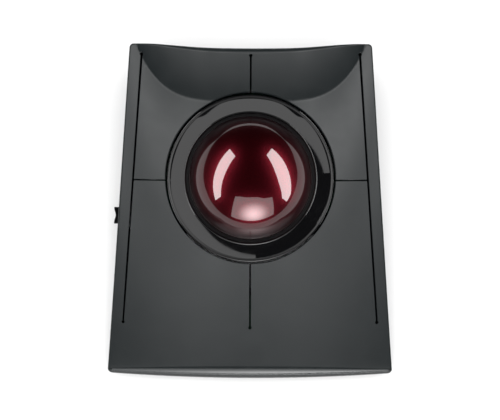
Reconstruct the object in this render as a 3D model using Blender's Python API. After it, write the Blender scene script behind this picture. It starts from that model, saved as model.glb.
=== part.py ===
"""Wireless trackball mouse, modelled as the assembly it is.

Frame: +X right, +Y towards the rear, +Z up. The origin is under the middle of the case, on the desk.
All numbers are in metres. A moving piece has its origin on its joint's axis.
"""

import math

import bmesh
import bpy
from mathutils import Euler, Matrix, Vector

# ---- Driving dimensions -------------------------------------------------------------------------
LENGTH = 0.150
HEIGHT = 0.0585
FRONT_HALF_WIDTH = 0.0657
REAR_HALF_WIDTH = 0.05435
FRONT_BOW = 0.0024
REAR_BOW = 0.0012
CORNER_RADIUS = 0.002
GAP = 0.0003

BALL_RADIUS = 0.0275
BALL_Y = 0.0147
BALL_Z = HEIGHT - BALL_RADIUS

FOOT_HEIGHT = 0.0012
PLATE_THICKNESS = 0.0016
PLATE_TOP = FOOT_HEIGHT + PLATE_THICKNESS
SHELL = 0.0021
DECK_THICKNESS = 0.0020

# Deck surface: a slope that rises to the rear, crowned across the front and dished across the rear,
# with a steeper scoop behind the ball. It rolls over at the front edge and a little at the rear edge.
DECK_SLOPE = math.tan(math.radians(7.0))
DECK_FRONT_Y = -0.0692
DECK_FRONT_Z = 0.0117
FRONT_CROWN = 0.0025
REAR_DISH = 0.0075
DISH_START = 0.016
DISH_END = 0.062
SCOOP_START = 0.0505
SCOOP_SWEEP = 0.0185
SCOOP_HALF_WIDTH = 0.049
SCOOP_SQUARENESS = 4.8
SCOOP_KICK = 0.22
SCOOP_CURVE = -1.6
FRONT_ROLL = 0.0045
FRONT_ROLL_FADE = 0.0020
FOLD_BOW = 0.0012
REAR_ROLL_WIDTH = 0.0027
REAR_ROLL = 0.0020

# Parting plane between the cover's skirt and the lower case.
PARTING_FRONT_Z = 0.0045
PARTING_SLOPE = 0.055
SKIRT_TAPER = 0.980
TRAY_TAPER = 0.905

# Slots that free the four buttons from the deck.
SLOT_WIDTH = 0.0009
SLOT_FRONT = Vector((0.0581, -0.0487))
SLOT_REAR = Vector((0.0490, 0.0708))
SEAM_Y = 0.0147
SEAM_WIDTH = 0.0005
HINGE_FRONT_Y = -0.0487
HINGE_REAR_Y = 0.0697

RING_OUTER = 0.0379
RING_INNER = 0.0292
BUTTON_CUTOUT = 0.0386
RING_TILT = math.atan(DECK_SLOPE)
RING_TOP = -0.0029
RING_LIP_BOTTOM = -0.0050

CUP_INNER = 0.0286
CUP_OUTER = 0.0302

SWITCH_X = 0.0430
SWITCH_Y = {"front": -0.0040, "rear": 0.0340}
SWITCH_SIZE = Vector((0.0128, 0.0058, 0.0065))
BOARD = 0.0012
BOARD_DROP = 0.0106
PLUNGER_RADIUS = 0.0012
PLUNGER_REACH = 0.0010
PLUNGER_DEPTH = 0.0016

# The mode switch's knob, on the outer face of the left wall.
KNOB_PLACE = Vector((-0.0600, -0.0005, 0.0135))
KNOB_HALF_LENGTH = 0.0038
KNOB_HALF_HEIGHT = 0.0016
KNOB_TRAVEL = 0.0020
KNOB_ROOT = 0.0042

SIDES = (("left", -1), ("right", 1))


# ---- Small tools --------------------------------------------------------------------------------
def clear_scene():
    for old in list(bpy.data.objects):
        bpy.data.objects.remove(old)


def material(name, color, roughness, metallic=0.0):
    made = bpy.data.materials.get(name)
    if made is None:
        made = bpy.data.materials.new(name)
        made.use_nodes = True
        shader = made.node_tree.nodes["Principled BSDF"]
        shader.inputs["Base Color"].default_value = (*color, 1.0)
        shader.inputs["Roughness"].default_value = roughness
        shader.inputs["Metallic"].default_value = metallic
    return made


def deck_plastic():
    return material("deck_plastic", (0.055, 0.057, 0.062), 0.32)


def gloss_black():
    return material("gloss_black", (0.008, 0.008, 0.009), 0.06)


def case_plastic():
    return material("case_plastic", (0.020, 0.020, 0.022), 0.5)


def ball_red():
    return material("ball_red", (0.16, 0.008, 0.018), 0.05)


def ceramic_white():
    return material("bearing_ceramic", (0.75, 0.73, 0.68), 0.2)


def board_green():
    return material("board_green", (0.02, 0.10, 0.05), 0.5)


def switch_black():
    return material("switch_plastic", (0.015, 0.015, 0.016), 0.45)


def plunger_white():
    return material("plunger_plastic", (0.70, 0.70, 0.68), 0.4)


def steel():
    return material("steel", (0.55, 0.55, 0.56), 0.35, 1.0)


def rubber():
    return material("foot_rubber", (0.03, 0.03, 0.03), 0.85)


def foil():
    return material("battery_foil", (0.35, 0.37, 0.42), 0.4)


def lens_plastic():
    return material("lens_plastic", (0.50, 0.52, 0.55), 0.1)


def add_object(name, mesh, look=None, origin=(0.0, 0.0, 0.0)):
    """Links a mesh given in world coordinates as an object whose origin is at origin."""
    mesh.transform(Matrix.Translation(-Vector(origin)))
    made = bpy.data.objects.new(name, mesh)
    made.location = origin
    bpy.context.scene.collection.objects.link(made)
    if look is not None:
        made.data.materials.append(look)
    return made


def mesh_from(bm, name):
    bmesh.ops.recalc_face_normals(bm, faces=bm.faces)
    mesh = bpy.data.meshes.new(name)
    bm.to_mesh(mesh)
    bm.free()
    return mesh


def smooth(made, angle=35.0):
    made.data.shade_smooth()
    made.data.set_sharp_from_angle(angle=math.radians(angle))
    return made


def cutter(mesh_or_bm, name):
    """A guide for a Boolean: never part of the model."""
    mesh = mesh_or_bm if isinstance(mesh_or_bm, bpy.types.Mesh) else mesh_from(mesh_or_bm, name)
    made = add_object(name, mesh)
    made.hide_render = True
    made.display_type = "WIRE"
    return made


def combine(made, tools, operation):
    """Applies one Boolean per tool, then removes the tools."""
    for tool in tools:
        step = made.modifiers.new(operation.lower(), "BOOLEAN")
        step.operation = operation
        step.object = tool
    depsgraph = bpy.context.evaluated_depsgraph_get()
    mesh = bpy.data.meshes.new_from_object(made.evaluated_get(depsgraph))
    made.modifiers.clear()
    made.data = mesh
    for tool in tools:
        bpy.data.objects.remove(tool)
    return made


def box_bm(low, high, bevel=0.0, segments=1):
    bm = bmesh.new()
    bmesh.ops.create_cube(bm, size=1.0)
    low, high = Vector(low), Vector(high)
    for v in bm.verts:
        v.co = Vector(l + (h - l) * (c + 0.5) for l, h, c in zip(low, high, v.co))
    if bevel:
        bmesh.ops.bevel(bm, geom=bm.edges[:], offset=bevel, segments=segments, affect="EDGES", profile=0.5)
    return bm


def box(name, low, high, look, bevel=0.0, segments=1, origin=(0.0, 0.0, 0.0)):
    return add_object(name, mesh_from(box_bm(low, high, bevel, segments), name), look, origin)


def centred_box(centre, size):
    centre, half = Vector(centre), Vector(size) / 2
    return centre - half, centre + half


def prism_bm(points, low, high):
    """A closed solid of the plan outline between two heights."""
    bm = bmesh.new()
    bottom = [bm.verts.new((x, y, low)) for x, y in points]
    top = [bm.verts.new((x, y, high)) for x, y in points]
    bm.faces.new(bottom)
    bm.faces.new(top)
    for i in range(len(points)):
        j = (i + 1) % len(points)
        bm.faces.new((bottom[i], bottom[j], top[j], top[i]))
    return bm


def circle(radius, segments, centre=(0.0, 0.0)):
    turn = 2 * math.pi / segments
    return [
        (centre[0] + radius * math.cos(i * turn), centre[1] + radius * math.sin(i * turn))
        for i in range(segments)
    ]


def turned_bm(profile, segments):
    """Turns a closed (radius, height) profile about the Z axis. A point at radius 0 closes to a pole."""
    bm = bmesh.new()
    rings = []
    for radius, height in profile:
        if radius < 1e-7:
            rings.append([bm.verts.new((0.0, 0.0, height))])
        else:
            rings.append([bm.verts.new((x, y, height)) for x, y in circle(radius, segments)])
    closed = min(radius for radius, _ in profile) > 1e-7
    pairs = list(zip(rings, rings[1:]))
    if closed:
        pairs.append((rings[-1], rings[0]))
    for lower, upper in pairs:
        for i in range(segments):
            j = (i + 1) % segments
            if len(lower) == 1:
                bm.faces.new((lower[0], upper[j], upper[i]))
            elif len(upper) == 1:
                bm.faces.new((lower[i], lower[j], upper[0]))
            else:
                bm.faces.new((lower[i], lower[j], upper[j], upper[i]))
    return bm


def disc(name, radius, low, high, centre, look, segments=20, origin=(0.0, 0.0, 0.0)):
    bm = prism_bm(circle(radius, segments, centre), low, high)
    return add_object(name, mesh_from(bm, name), look, origin)


def place(bm, location, rotation=(0.0, 0.0, 0.0)):
    matrix = Matrix.LocRotScale(Vector(location), Euler(rotation), None)
    bmesh.ops.transform(bm, matrix=matrix, verts=bm.verts)
    return bm


# ---- The case's plan and its deck surface -------------------------------------------------------
def on_deck_slope(bm):
    """Places a solid made about the middle of the button field onto the deck's slope."""
    return place(bm, (0.0, SEAM_Y, deck_height(0.0, SEAM_Y)), (math.atan(DECK_SLOPE), 0.0, 0.0))


def half_width(y):
    return REAR_HALF_WIDTH + (FRONT_HALF_WIDTH - REAR_HALF_WIDTH) * (0.5 - y / LENGTH)


def front_edge(x):
    return -LENGTH / 2 + FRONT_BOW * (x / FRONT_HALF_WIDTH) ** 2


def rear_edge(x):
    return LENGTH / 2 - REAR_BOW * max(0.0, 1 - (x / REAR_HALF_WIDTH) ** 2)


def fillet(before, corner, after, radius, segments=4):
    """Points of an arc that rounds a corner of an outline."""
    corner = Vector(corner)
    to_before = (Vector(before) - corner).normalized()
    to_after = (Vector(after) - corner).normalized()
    half_angle = to_before.angle(to_after) / 2
    centre = corner + (to_before + to_after).normalized() * radius / math.sin(half_angle)
    start = corner + to_before * radius / math.tan(half_angle) - centre
    end = corner + to_after * radius / math.tan(half_angle) - centre
    points = []
    for i in range(segments + 1):
        arm = start.lerp(end, i / segments).normalized() * radius
        points.append(tuple(centre + arm))
    return points


def case_outline(inset=0.0, across=12, along=6):
    """The case's plan outline, anticlockwise from its front left corner, moved in by inset."""
    front_half = half_width(front_edge(FRONT_HALF_WIDTH)) - inset
    rear_half = REAR_HALF_WIDTH - inset
    radius = max(0.0004, CORNER_RADIUS - inset)
    front = [
        (x, front_edge(x) + inset)
        for x in (front_half * (2 * i / across - 1) for i in range(across + 1))
    ]
    rear = [
        (x, rear_edge(x) - inset)
        for x in (rear_half * (1 - 2 * i / across) for i in range(across + 1))
    ]
    right = [tuple(Vector(front[-1]).lerp(Vector(rear[0]), i / along)) for i in range(1, along)]
    left = [tuple(Vector(rear[-1]).lerp(Vector(front[0]), i / along)) for i in range(1, along)]
    points = fillet(left[-1], front[0], front[1], radius) + front[1:-1]
    points += fillet(front[-2], front[-1], right[0], radius) + right
    points += fillet(right[-1], rear[0], rear[1], radius) + rear[1:-1]
    points += fillet(rear[-2], rear[-1], left[0], radius) + left
    return points


def rise(t):
    """0 at t = 0, 1 at t = 1, level at both ends."""
    t = min(max(t, 0.0), 1.0)
    return t * t * (3.0 - 2.0 * t)


def quarter_roll(t):
    """0 at t = 0, 1 at t = 1, following a quarter of an ellipse."""
    t = min(max(t, 0.0), 1.0)
    return 1.0 - math.sqrt(1.0 - t * t)


def deck_height(x, y):
    across = min(abs(x) / half_width(y), 1.0)
    along = min(max((y - DECK_FRONT_Y) / (LENGTH / 2 - DECK_FRONT_Y), 0.0), 1.0)
    height = DECK_FRONT_Z + DECK_SLOPE * (y - DECK_FRONT_Y)
    dished = rise((abs(x) - DISH_START) / (DISH_END - DISH_START))
    height += REAR_DISH * along**1.5 * dished - FRONT_CROWN * (1 - along) ** 1.5 * across**2
    scoop = y - SCOOP_START - SCOOP_SWEEP * (abs(x) / SCOOP_HALF_WIDTH) ** SCOOP_SQUARENESS
    if scoop > 0:
        height += SCOOP_KICK * scoop + SCOOP_CURVE * scoop * scoop
    fold = DECK_FRONT_Y - FOLD_BOW * across**2
    if y < fold:
        drop = FRONT_ROLL - FRONT_ROLL_FADE * across**2
        height -= drop * quarter_roll((fold - y) / (fold - front_edge(x)))
    band = REAR_ROLL_WIDTH * (1 - across**2)
    if band > 0 and y > rear_edge(x) - band:
        height -= REAR_ROLL * (1 - across**2) * quarter_roll((y - rear_edge(x) + band) / band)
    return height


def parting_height(y):
    return PARTING_FRONT_Z + PARTING_SLOPE * (y + LENGTH / 2)


def slot_x(y):
    along = (y - SLOT_FRONT.y) / (SLOT_REAR.y - SLOT_FRONT.y)
    return SLOT_FRONT.x + (SLOT_REAR.x - SLOT_FRONT.x) * along


def slice_mesh(bm, xs, ys):
    """Cuts a flat solid along a grid of planes so that it can follow the deck's curve."""
    cuts = [((x, 0, 0), (1, 0, 0)) for x in xs] + [((0, y, 0), (0, 1, 0)) for y in ys]
    for point, normal in cuts:
        geometry = bm.verts[:] + bm.edges[:] + bm.faces[:]
        bmesh.ops.bisect_plane(bm, geom=geometry, dist=1e-7, plane_co=point, plane_no=normal)


def bend_to_deck(bm, skirt_level=None):
    """Lifts a flat solid whose top is at z = 0 onto the deck, and its skirt's foot to the parting plane."""
    bmesh.ops.triangulate(bm, faces=bm.faces[:])
    for v in bm.verts:
        x, y, z = v.co
        if skirt_level is not None and z < skirt_level / 2:
            v.co = Vector((x * SKIRT_TAPER, y * SKIRT_TAPER, parting_height(y) + GAP))
        else:
            v.co.z = deck_height(x, y) + z


# ---- Casings ------------------------------------------------------------------------------------
# Where the flat casings are cut so that their faces can follow the deck.
COVER_COLUMNS = (-0.03, 0.0, 0.03)
COVER_ROWS = (-0.0735, -0.0715, DECK_FRONT_Y, -0.062, -0.03, 0.0, 0.03, 0.05, 0.0715)
PANEL_COLUMNS = (0.014, 0.028, 0.042)
FRONT_PANEL_ROWS = (-0.036, -0.022, -0.008)
REAR_PANEL_ROWS = (0.030, 0.044, 0.0525, 0.058, 0.064)
ACTUATOR_RADIUS = 0.0018


def top_cover():
    """The deck's frame and the skirt under it, open where the four buttons and the ball sit."""
    skirt_level = -0.1
    flat = add_object("top_cover", mesh_from(prism_bm(case_outline(), skirt_level, 0.0), "top_cover"))
    inside = cutter(prism_bm(case_outline(SHELL), skirt_level - 0.01, -DECK_THICKNESS), "cover_inside")
    low = HINGE_FRONT_Y - GAP
    high = HINGE_REAR_Y + GAP
    edge = SLOT_WIDTH / 2
    opening = [
        (-slot_x(low) - edge, low),
        (slot_x(low) + edge, low),
        (slot_x(high) + edge, high),
        (-slot_x(high) - edge, high),
    ]
    combine(flat, [inside, cutter(prism_bm(opening, -0.02, 0.01), "button_opening")], "DIFFERENCE")
    bm = bmesh.new()
    bm.from_mesh(flat.data)
    slice_mesh(bm, COVER_COLUMNS, COVER_ROWS)
    bend_to_deck(bm, skirt_level)
    bpy.data.objects.remove(flat)
    cover = add_object("top_cover", mesh_from(bm, "top_cover"), deck_plastic())
    posts, bores = screw_bosses()
    combine(cover, posts, "UNION")
    slot_half = Vector((0.0, KNOB_HALF_LENGTH + KNOB_TRAVEL + 0.0004, KNOB_HALF_HEIGHT + GAP))
    through = Vector((0.0060, 0.0, 0.0))
    slot = box_bm(KNOB_PLACE - through - slot_half, KNOB_PLACE + through + slot_half)
    combine(cover, bores + [cutter(slot, "knob_slot")], "DIFFERENCE")
    return smooth(cover)


def ring_plan_centre():
    """Where the ring's axis passes through the deck."""
    return (0.0, BALL_Y - ring_deck_level() * math.sin(RING_TILT))


def button(name, side, front):
    """One quarter of the button field, from its hinge line to the ring's cut-out."""
    edge = SLOT_WIDTH / 2
    if front:
        hinge, seam = HINGE_FRONT_Y, SEAM_Y - SEAM_WIDTH / 2
    else:
        hinge, seam = HINGE_REAR_Y, SEAM_Y + SEAM_WIDTH / 2
    plan = [
        (side * edge, hinge),
        (side * (slot_x(hinge) - edge), hinge),
        (side * (slot_x(seam) - edge), seam),
        (side * edge, seam),
    ]
    flat = add_object(name, mesh_from(prism_bm(plan, -DECK_THICKNESS, 0.0), name))
    hole = cutter(prism_bm(circle(BUTTON_CUTOUT, 64, ring_plan_centre()), -0.02, 0.01), "ring_hole")
    combine(flat, [hole], "DIFFERENCE")
    bm = bmesh.new()
    bm.from_mesh(flat.data)
    columns = [side * x for x in PANEL_COLUMNS]
    slice_mesh(bm, columns, FRONT_PANEL_ROWS if front else REAR_PANEL_ROWS)
    bend_to_deck(bm)
    bpy.data.objects.remove(flat)
    hinge_x = side * slot_x(hinge) / 2
    origin = (hinge_x, hinge, deck_height(hinge_x, hinge) - DECK_THICKNESS)
    made = add_object(name, mesh_from(bm, name))
    row = "front" if front else "rear"
    post_low = -BOARD_DROP + GAP + SWITCH_SIZE.z + PLUNGER_REACH + GAP
    centre = (side * SWITCH_X, SWITCH_Y[row] - SEAM_Y)
    above_slope = deck_height(SWITCH_X, SWITCH_Y[row]) - deck_height(0.0, SWITCH_Y[row])
    post = prism_bm(circle(ACTUATOR_RADIUS, 12, centre), post_low, above_slope - DECK_THICKNESS / 2)
    combine(made, [cutter(on_deck_slope(post), "actuator_post")], "UNION")
    mesh = made.data
    bpy.data.objects.remove(made)
    return smooth(add_object(name, mesh, deck_plastic(), origin))


TRAY_INSET = 0.0002
HOLE_CLEARANCE = 0.0004
THROUGH_FLOOR = (-0.001, 0.01)


def lower_case():
    """The tray that closes the case from below, with its openings."""
    floor_level, open_level = 0.2, 1.0
    outside = prism_bm(case_outline(TRAY_INSET), 0.0, open_level)
    tray = add_object("lower_case", mesh_from(outside, "lower_case"))
    inside = prism_bm(case_outline(SHELL + TRAY_INSET), floor_level, open_level + 0.1)
    hollow = cutter(inside, "tray_hollow")
    combine(tray, [hollow], "DIFFERENCE")
    for v in tray.data.vertices:
        x, y, level = v.co
        if level > 0.6:
            v.co = Vector((x * SKIRT_TAPER, y * SKIRT_TAPER, parting_height(y)))
        else:
            v.co = Vector((x * TRAY_TAPER, y * TRAY_TAPER, PLATE_TOP if level > 0.1 else FOOT_HEIGHT))
    tools = [cutter(receiver_bay_bm(GAP), "receiver_window")]
    for x, y in screw_places():
        hole = prism_bm(circle(SCREW_HOLE_RADIUS, 16, (x, y)), *THROUGH_FLOOR)
        tools.append(cutter(hole, "screw_hole"))
    around_button = circle(PAIRING_RADIUS + HOLE_CLEARANCE, 20, PAIRING_PLACE)
    tools.append(cutter(prism_bm(around_button, *THROUGH_FLOOR), "pairing_hole"))
    tools.append(cutter(port_bm(HOLE_CLEARANCE, PORT_HOLE_EXTRA), "port_hole"))
    combine(tray, tools, "DIFFERENCE")
    tray.data.materials.append(case_plastic())
    return smooth(tray)


def ring_place():
    """The ring is coaxial with the ball, about a line square to the deck."""
    return (0.0, BALL_Y, BALL_Z), (RING_TILT, 0.0, 0.0)


def ring_deck_level():
    """The deck's height along the ring's axis, counted from the ball's centre."""
    return (deck_height(0.0, BALL_Y) - BALL_Z) * math.cos(RING_TILT)


def trim_ring():
    """The gloss collar that rises from the buttons to a little under the ball's widest level."""
    deck = ring_deck_level()
    foot = deck - 0.0030
    profile = [
        (RING_OUTER, foot),
        (RING_OUTER, deck + 0.0002),
        (RING_OUTER - 0.0006, deck + 0.0006),
        (RING_OUTER - 0.0014, deck + 0.0004),
        (RING_INNER + 0.0007, RING_TOP - 0.0002),
        (RING_INNER + 0.0003, RING_TOP),
        (RING_INNER, RING_TOP - 0.0002),
        (RING_INNER, RING_LIP_BOTTOM),
        (RING_INNER + 0.0020, RING_LIP_BOTTOM),
        (RING_OUTER - 0.0029, deck - 0.0004),
        (RING_OUTER - 0.0029, foot),
    ]
    bm = turned_bm(profile, 64)
    place(bm, *ring_place())
    return smooth(add_object("trim_ring", mesh_from(bm, "trim_ring"), gloss_black()))


# ---- Ball, cup and bearings ---------------------------------------------------------------------
BEARING_RADIUS = 0.0015
BEARING_DROP = math.radians(-38.0)
BEARING_TURNS = {"bearing_rear": 90.0, "bearing_front_left": 210.0, "bearing_front_right": 330.0}
LENS_RADIUS = 0.0026
LENS_BACK = 0.0313
SENSOR_DROP = math.radians(-33.0)
SENSOR_TURNS = {"left": 150.0, "right": 30.0}
CUP_TOP = -0.0010
CUP_BOTTOM = -(BALL_Z - PLATE_TOP - GAP)


def ball_direction(turn, drop):
    """A unit vector from the ball's centre: turn in degrees in plan from +X, drop in radians from level."""
    turn = math.radians(turn)
    return Vector((math.cos(drop) * math.cos(turn), math.cos(drop) * math.sin(turn), math.sin(drop)))


def aimed(direction):
    return Vector((0, 0, 1)).rotation_difference(direction).to_matrix().to_4x4()


def rod_bm(direction, radius, start, end, segments=16):
    """A rod along a line through the ball's centre, from one distance to another."""
    bm = prism_bm(circle(radius, segments), start, end)
    turn = Matrix.Translation((0, BALL_Y, BALL_Z)) @ aimed(direction)
    bmesh.ops.transform(bm, matrix=turn, verts=bm.verts)
    return bm


def block_bm(direction, size, start, end):
    """A block square to a line through the ball's centre, from one distance to another."""
    bm = box_bm((-size[0] / 2, -size[1] / 2, start), (size[0] / 2, size[1] / 2, end))
    turn = Matrix.Translation((0, BALL_Y, BALL_Z)) @ aimed(direction)
    bmesh.ops.transform(bm, matrix=turn, verts=bm.verts)
    return bm


def ball():
    bm = bmesh.new()
    bmesh.ops.create_uvsphere(bm, u_segments=36, v_segments=22, radius=BALL_RADIUS)
    place(bm, (0.0, BALL_Y, BALL_Z))
    return smooth(add_object("ball", mesh_from(bm, "ball"), ball_red(), (0.0, BALL_Y, BALL_Z)), 60)


def arc_heights(radius, low, high, count):
    """(radius, height) points of a sphere's side between two heights."""
    return [
        (math.sqrt(radius * radius - z * z), z)
        for z in (low + (high - low) * i / count for i in range(count + 1))
    ]


def ball_cup():
    outer = arc_heights(CUP_OUTER, CUP_BOTTOM, CUP_TOP, 8)
    inner = arc_heights(CUP_INNER, CUP_BOTTOM, CUP_TOP, 8)
    bm = turned_bm(outer + inner[::-1], 40)
    place(bm, (0.0, BALL_Y, BALL_Z))
    cup = add_object("ball_cup", mesh_from(bm, "ball_cup"))
    bosses = []
    holes = []
    past_ball = BALL_RADIUS - 0.0025
    for turn in BEARING_TURNS.values():
        line = ball_direction(turn, BEARING_DROP)
        boss = rod_bm(line, BEARING_RADIUS + 0.0019, CUP_INNER + 0.0004, CUP_OUTER + 0.0023)
        bosses.append(cutter(boss, "bearing_boss"))
        hole = rod_bm(line, BEARING_RADIUS + GAP, past_ball, CUP_OUTER + 0.0010)
        holes.append(cutter(hole, "bearing_hole"))
    for turn in SENSOR_TURNS.values():
        line = ball_direction(turn, SENSOR_DROP)
        window = rod_bm(line, LENS_RADIUS + 0.0004, past_ball, CUP_OUTER + 0.0028)
        holes.append(cutter(window, "sensor_window"))
    above_rim = box_bm((-0.04, -0.04, RING_LIP_BOTTOM - GAP), (0.04, 0.04, 0.02))
    holes.append(cutter(place(above_rim, *ring_place()), "cup_rim_cut"))
    combine(cup, bosses, "UNION")
    combine(cup, holes, "DIFFERENCE")
    cup.data.materials.append(case_plastic())
    return smooth(cup)


def bearings():
    for name, turn in BEARING_TURNS.items():
        bm = bmesh.new()
        bmesh.ops.create_uvsphere(bm, u_segments=12, v_segments=8, radius=BEARING_RADIUS)
        centre = ball_direction(turn, BEARING_DROP) * (BALL_RADIUS + GAP / 3 + BEARING_RADIUS)
        place(bm, Vector((0, BALL_Y, BALL_Z)) + centre)
        smooth(add_object(name, mesh_from(bm, name), ceramic_white()), 60)


def sensors():
    """A lens in the cup's window, the optical sensor behind it and the small board that carries both."""
    for side, turn in SENSOR_TURNS.items():
        line = ball_direction(turn, SENSOR_DROP)
        lens = rod_bm(line, LENS_RADIUS, BALL_RADIUS + 0.0012, LENS_BACK)
        smooth(add_object("sensor_lens_" + side, mesh_from(lens, "lens"), lens_plastic()))
        chip = block_bm(line, (0.0090, 0.0075), LENS_BACK + GAP, LENS_BACK + 0.0025)
        add_object("sensor_chip_" + side, mesh_from(chip, "chip"), switch_black())
        board = block_bm(line, (0.0140, 0.0115), LENS_BACK + 0.0028, LENS_BACK + 0.0028 + BOARD)
        add_object("sensor_board_" + side, mesh_from(board, "board"), board_green())


# ---- Electronics --------------------------------------------------------------------------------
PAIRING_PLACE = (-0.034, -0.050)
PAIRING_RADIUS = 0.0030
MAIN_BOARD_BOTTOM = 0.0050
MAIN_BOARD_FRONT = -0.0630
MAIN_BOARD_REAR = -0.0370
BATTERY_SIZE = Vector((0.038, 0.0240, 0.0042))
BATTERY_CENTRE = Vector((0.0280, -0.0495, 0.0053))
PORT_Z = 0.0080
PORT_Y = (0.0590, 0.0700)
PORT_HALF_WIDTH = 0.00447
PORT_HALF_HEIGHT = 0.0016
PORT_CORNER = 0.0014
PORT_HOLE_EXTRA = 0.020
MOUTH_LOW = Vector((-0.0042, 0.0610, PORT_Z - 0.0013))
MOUTH_HIGH = Vector((0.0042, 0.0720, PORT_Z + 0.0013))
TONGUE_LOW = Vector((-0.0034, 0.0613, PORT_Z - 0.00035))
TONGUE_HIGH = Vector((0.0034, 0.0670, PORT_Z + 0.00035))
PORT_BOARD_Y = (0.0490, 0.0645)
PORT_BOARD_HALF_WIDTH = 0.010
RECEIVER_CENTRE = Vector((-0.0365, 0.0375, 0.0047))
RECEIVER_SIZE = Vector((0.0145, 0.0190, 0.0070))
BAY_WALL = 0.0012
POST_Y = (0.003, 0.018)
POST_RADIUS = 0.0022
SWITCH_BOARD_HALF_WIDTH = 0.0070
SWITCH_BOARD_END = 0.0060
MODE_SWITCH_DEPTH = 0.0044
MODE_SWITCH_HALF_LENGTH = 0.0065
MODE_SWITCH_HALF_HEIGHT = 0.0030
PAIRING_SWITCH_HALF = 0.0026
PAIRING_SWITCH_HEIGHT = 0.0009
WEIGHT_LOW = (-0.034, -0.0335, PLATE_TOP + GAP)
WEIGHT_HIGH = (0.034, -0.0080, PLATE_TOP + 0.0025)


def receiver_bay_bm(clearance):
    low, high = centred_box(RECEIVER_CENTRE, RECEIVER_SIZE)
    grow = Vector((clearance, clearance, 0.01))
    return box_bm(low - grow, high + grow)


def port_bm(clearance, extra=0.0):
    """The USB socket's shell, or with clearance the hole for it in the rear wall."""
    half_width, half_height = PORT_HALF_WIDTH + clearance, PORT_HALF_HEIGHT + clearance
    low = Vector((-half_width, PORT_Y[0], PORT_Z - half_height))
    high = Vector((half_width, PORT_Y[1] + extra, PORT_Z + half_height))
    bm = box_bm(low, high)
    lengthways = [e for e in bm.edges if abs((e.verts[0].co - e.verts[1].co).normalized().y) > 0.9]
    bmesh.ops.bevel(bm, geom=lengthways, offset=PORT_CORNER, segments=4, affect="EDGES", profile=0.5)
    return bm


def main_board():
    low = (-0.047, MAIN_BOARD_FRONT, MAIN_BOARD_BOTTOM)
    high = (0.005, MAIN_BOARD_REAR, MAIN_BOARD_BOTTOM + BOARD)
    box("main_board", low, high, board_green())
    low, high = centred_box(BATTERY_CENTRE, BATTERY_SIZE)
    box("battery", low, high, foil(), 0.0008, 2)


def click_switch(side, sign, row):
    """A click switch on its board, with a pocket in its top for the plunger that the button presses."""
    x, y = sign * SWITCH_X, SWITCH_Y[row] - SEAM_Y
    base = -BOARD_DROP + GAP
    top = base + SWITCH_SIZE.z
    half = SWITCH_SIZE / 2
    body = box_bm((x - half.x, y - half.y, base), (x + half.x, y + half.y, top), 0.0003)
    name = "switch_" + row + "_" + side
    made = add_object(name, mesh_from(on_deck_slope(body), name))
    pocket = prism_bm(circle(PLUNGER_RADIUS + GAP, 12, (x, y)), top - PLUNGER_DEPTH, top + 0.001)
    combine(made, [cutter(on_deck_slope(pocket), "plunger_pocket")], "DIFFERENCE")
    made.data.materials.append(switch_black())
    low = top - PLUNGER_DEPTH + PLUNGER_REACH
    plunger = on_deck_slope(prism_bm(circle(PLUNGER_RADIUS, 12, (x, y)), low, top + PLUNGER_REACH))
    name = "plunger_" + row + "_" + side
    middle = sum((v.co for v in plunger.verts), Vector()) / len(plunger.verts)
    add_object(name, mesh_from(plunger, name), plunger_white(), middle)


def switch_boards():
    """A board on each side of the ball, parallel to the deck, with the switches of that side's buttons."""
    for side, sign in SIDES:
        front = SWITCH_Y["front"] - SEAM_Y - SWITCH_BOARD_END
        rear = SWITCH_Y["rear"] - SEAM_Y + SWITCH_BOARD_END
        low = Vector((SWITCH_X - SWITCH_BOARD_HALF_WIDTH, front, -BOARD_DROP - BOARD))
        high = Vector((SWITCH_X + SWITCH_BOARD_HALF_WIDTH, rear, -BOARD_DROP))
        if sign < 0:
            low.x, high.x = -high.x, -low.x
        name = "switch_board_" + side
        add_object(name, mesh_from(on_deck_slope(box_bm(low, high)), name), board_green())
        for row in SWITCH_Y:
            click_switch(side, sign, row)
        for number, y in enumerate(POST_Y, start=1):
            name = "board_post_%s_%d" % (side, number)
            top = deck_height(0.0, y - POST_RADIUS) - BOARD_DROP - BOARD - 2 * GAP
            disc(name, POST_RADIUS, PLATE_TOP + GAP, top, (sign * SWITCH_X, y), case_plastic(), 14)


def usb_socket():
    shell = add_object("usb_socket", mesh_from(port_bm(0.0), "usb_socket"))
    combine(shell, [cutter(box_bm(MOUTH_LOW, MOUTH_HIGH), "socket_mouth")], "DIFFERENCE")
    shell.data.materials.append(steel())
    box("usb_tongue", TONGUE_LOW, TONGUE_HIGH, switch_black())
    board_top = PORT_Z - PORT_HALF_HEIGHT - GAP
    low = (-PORT_BOARD_HALF_WIDTH, PORT_BOARD_Y[0], board_top - BOARD)
    high = (PORT_BOARD_HALF_WIDTH, PORT_BOARD_Y[1], board_top)
    box("usb_board", low, high, board_green())


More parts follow.
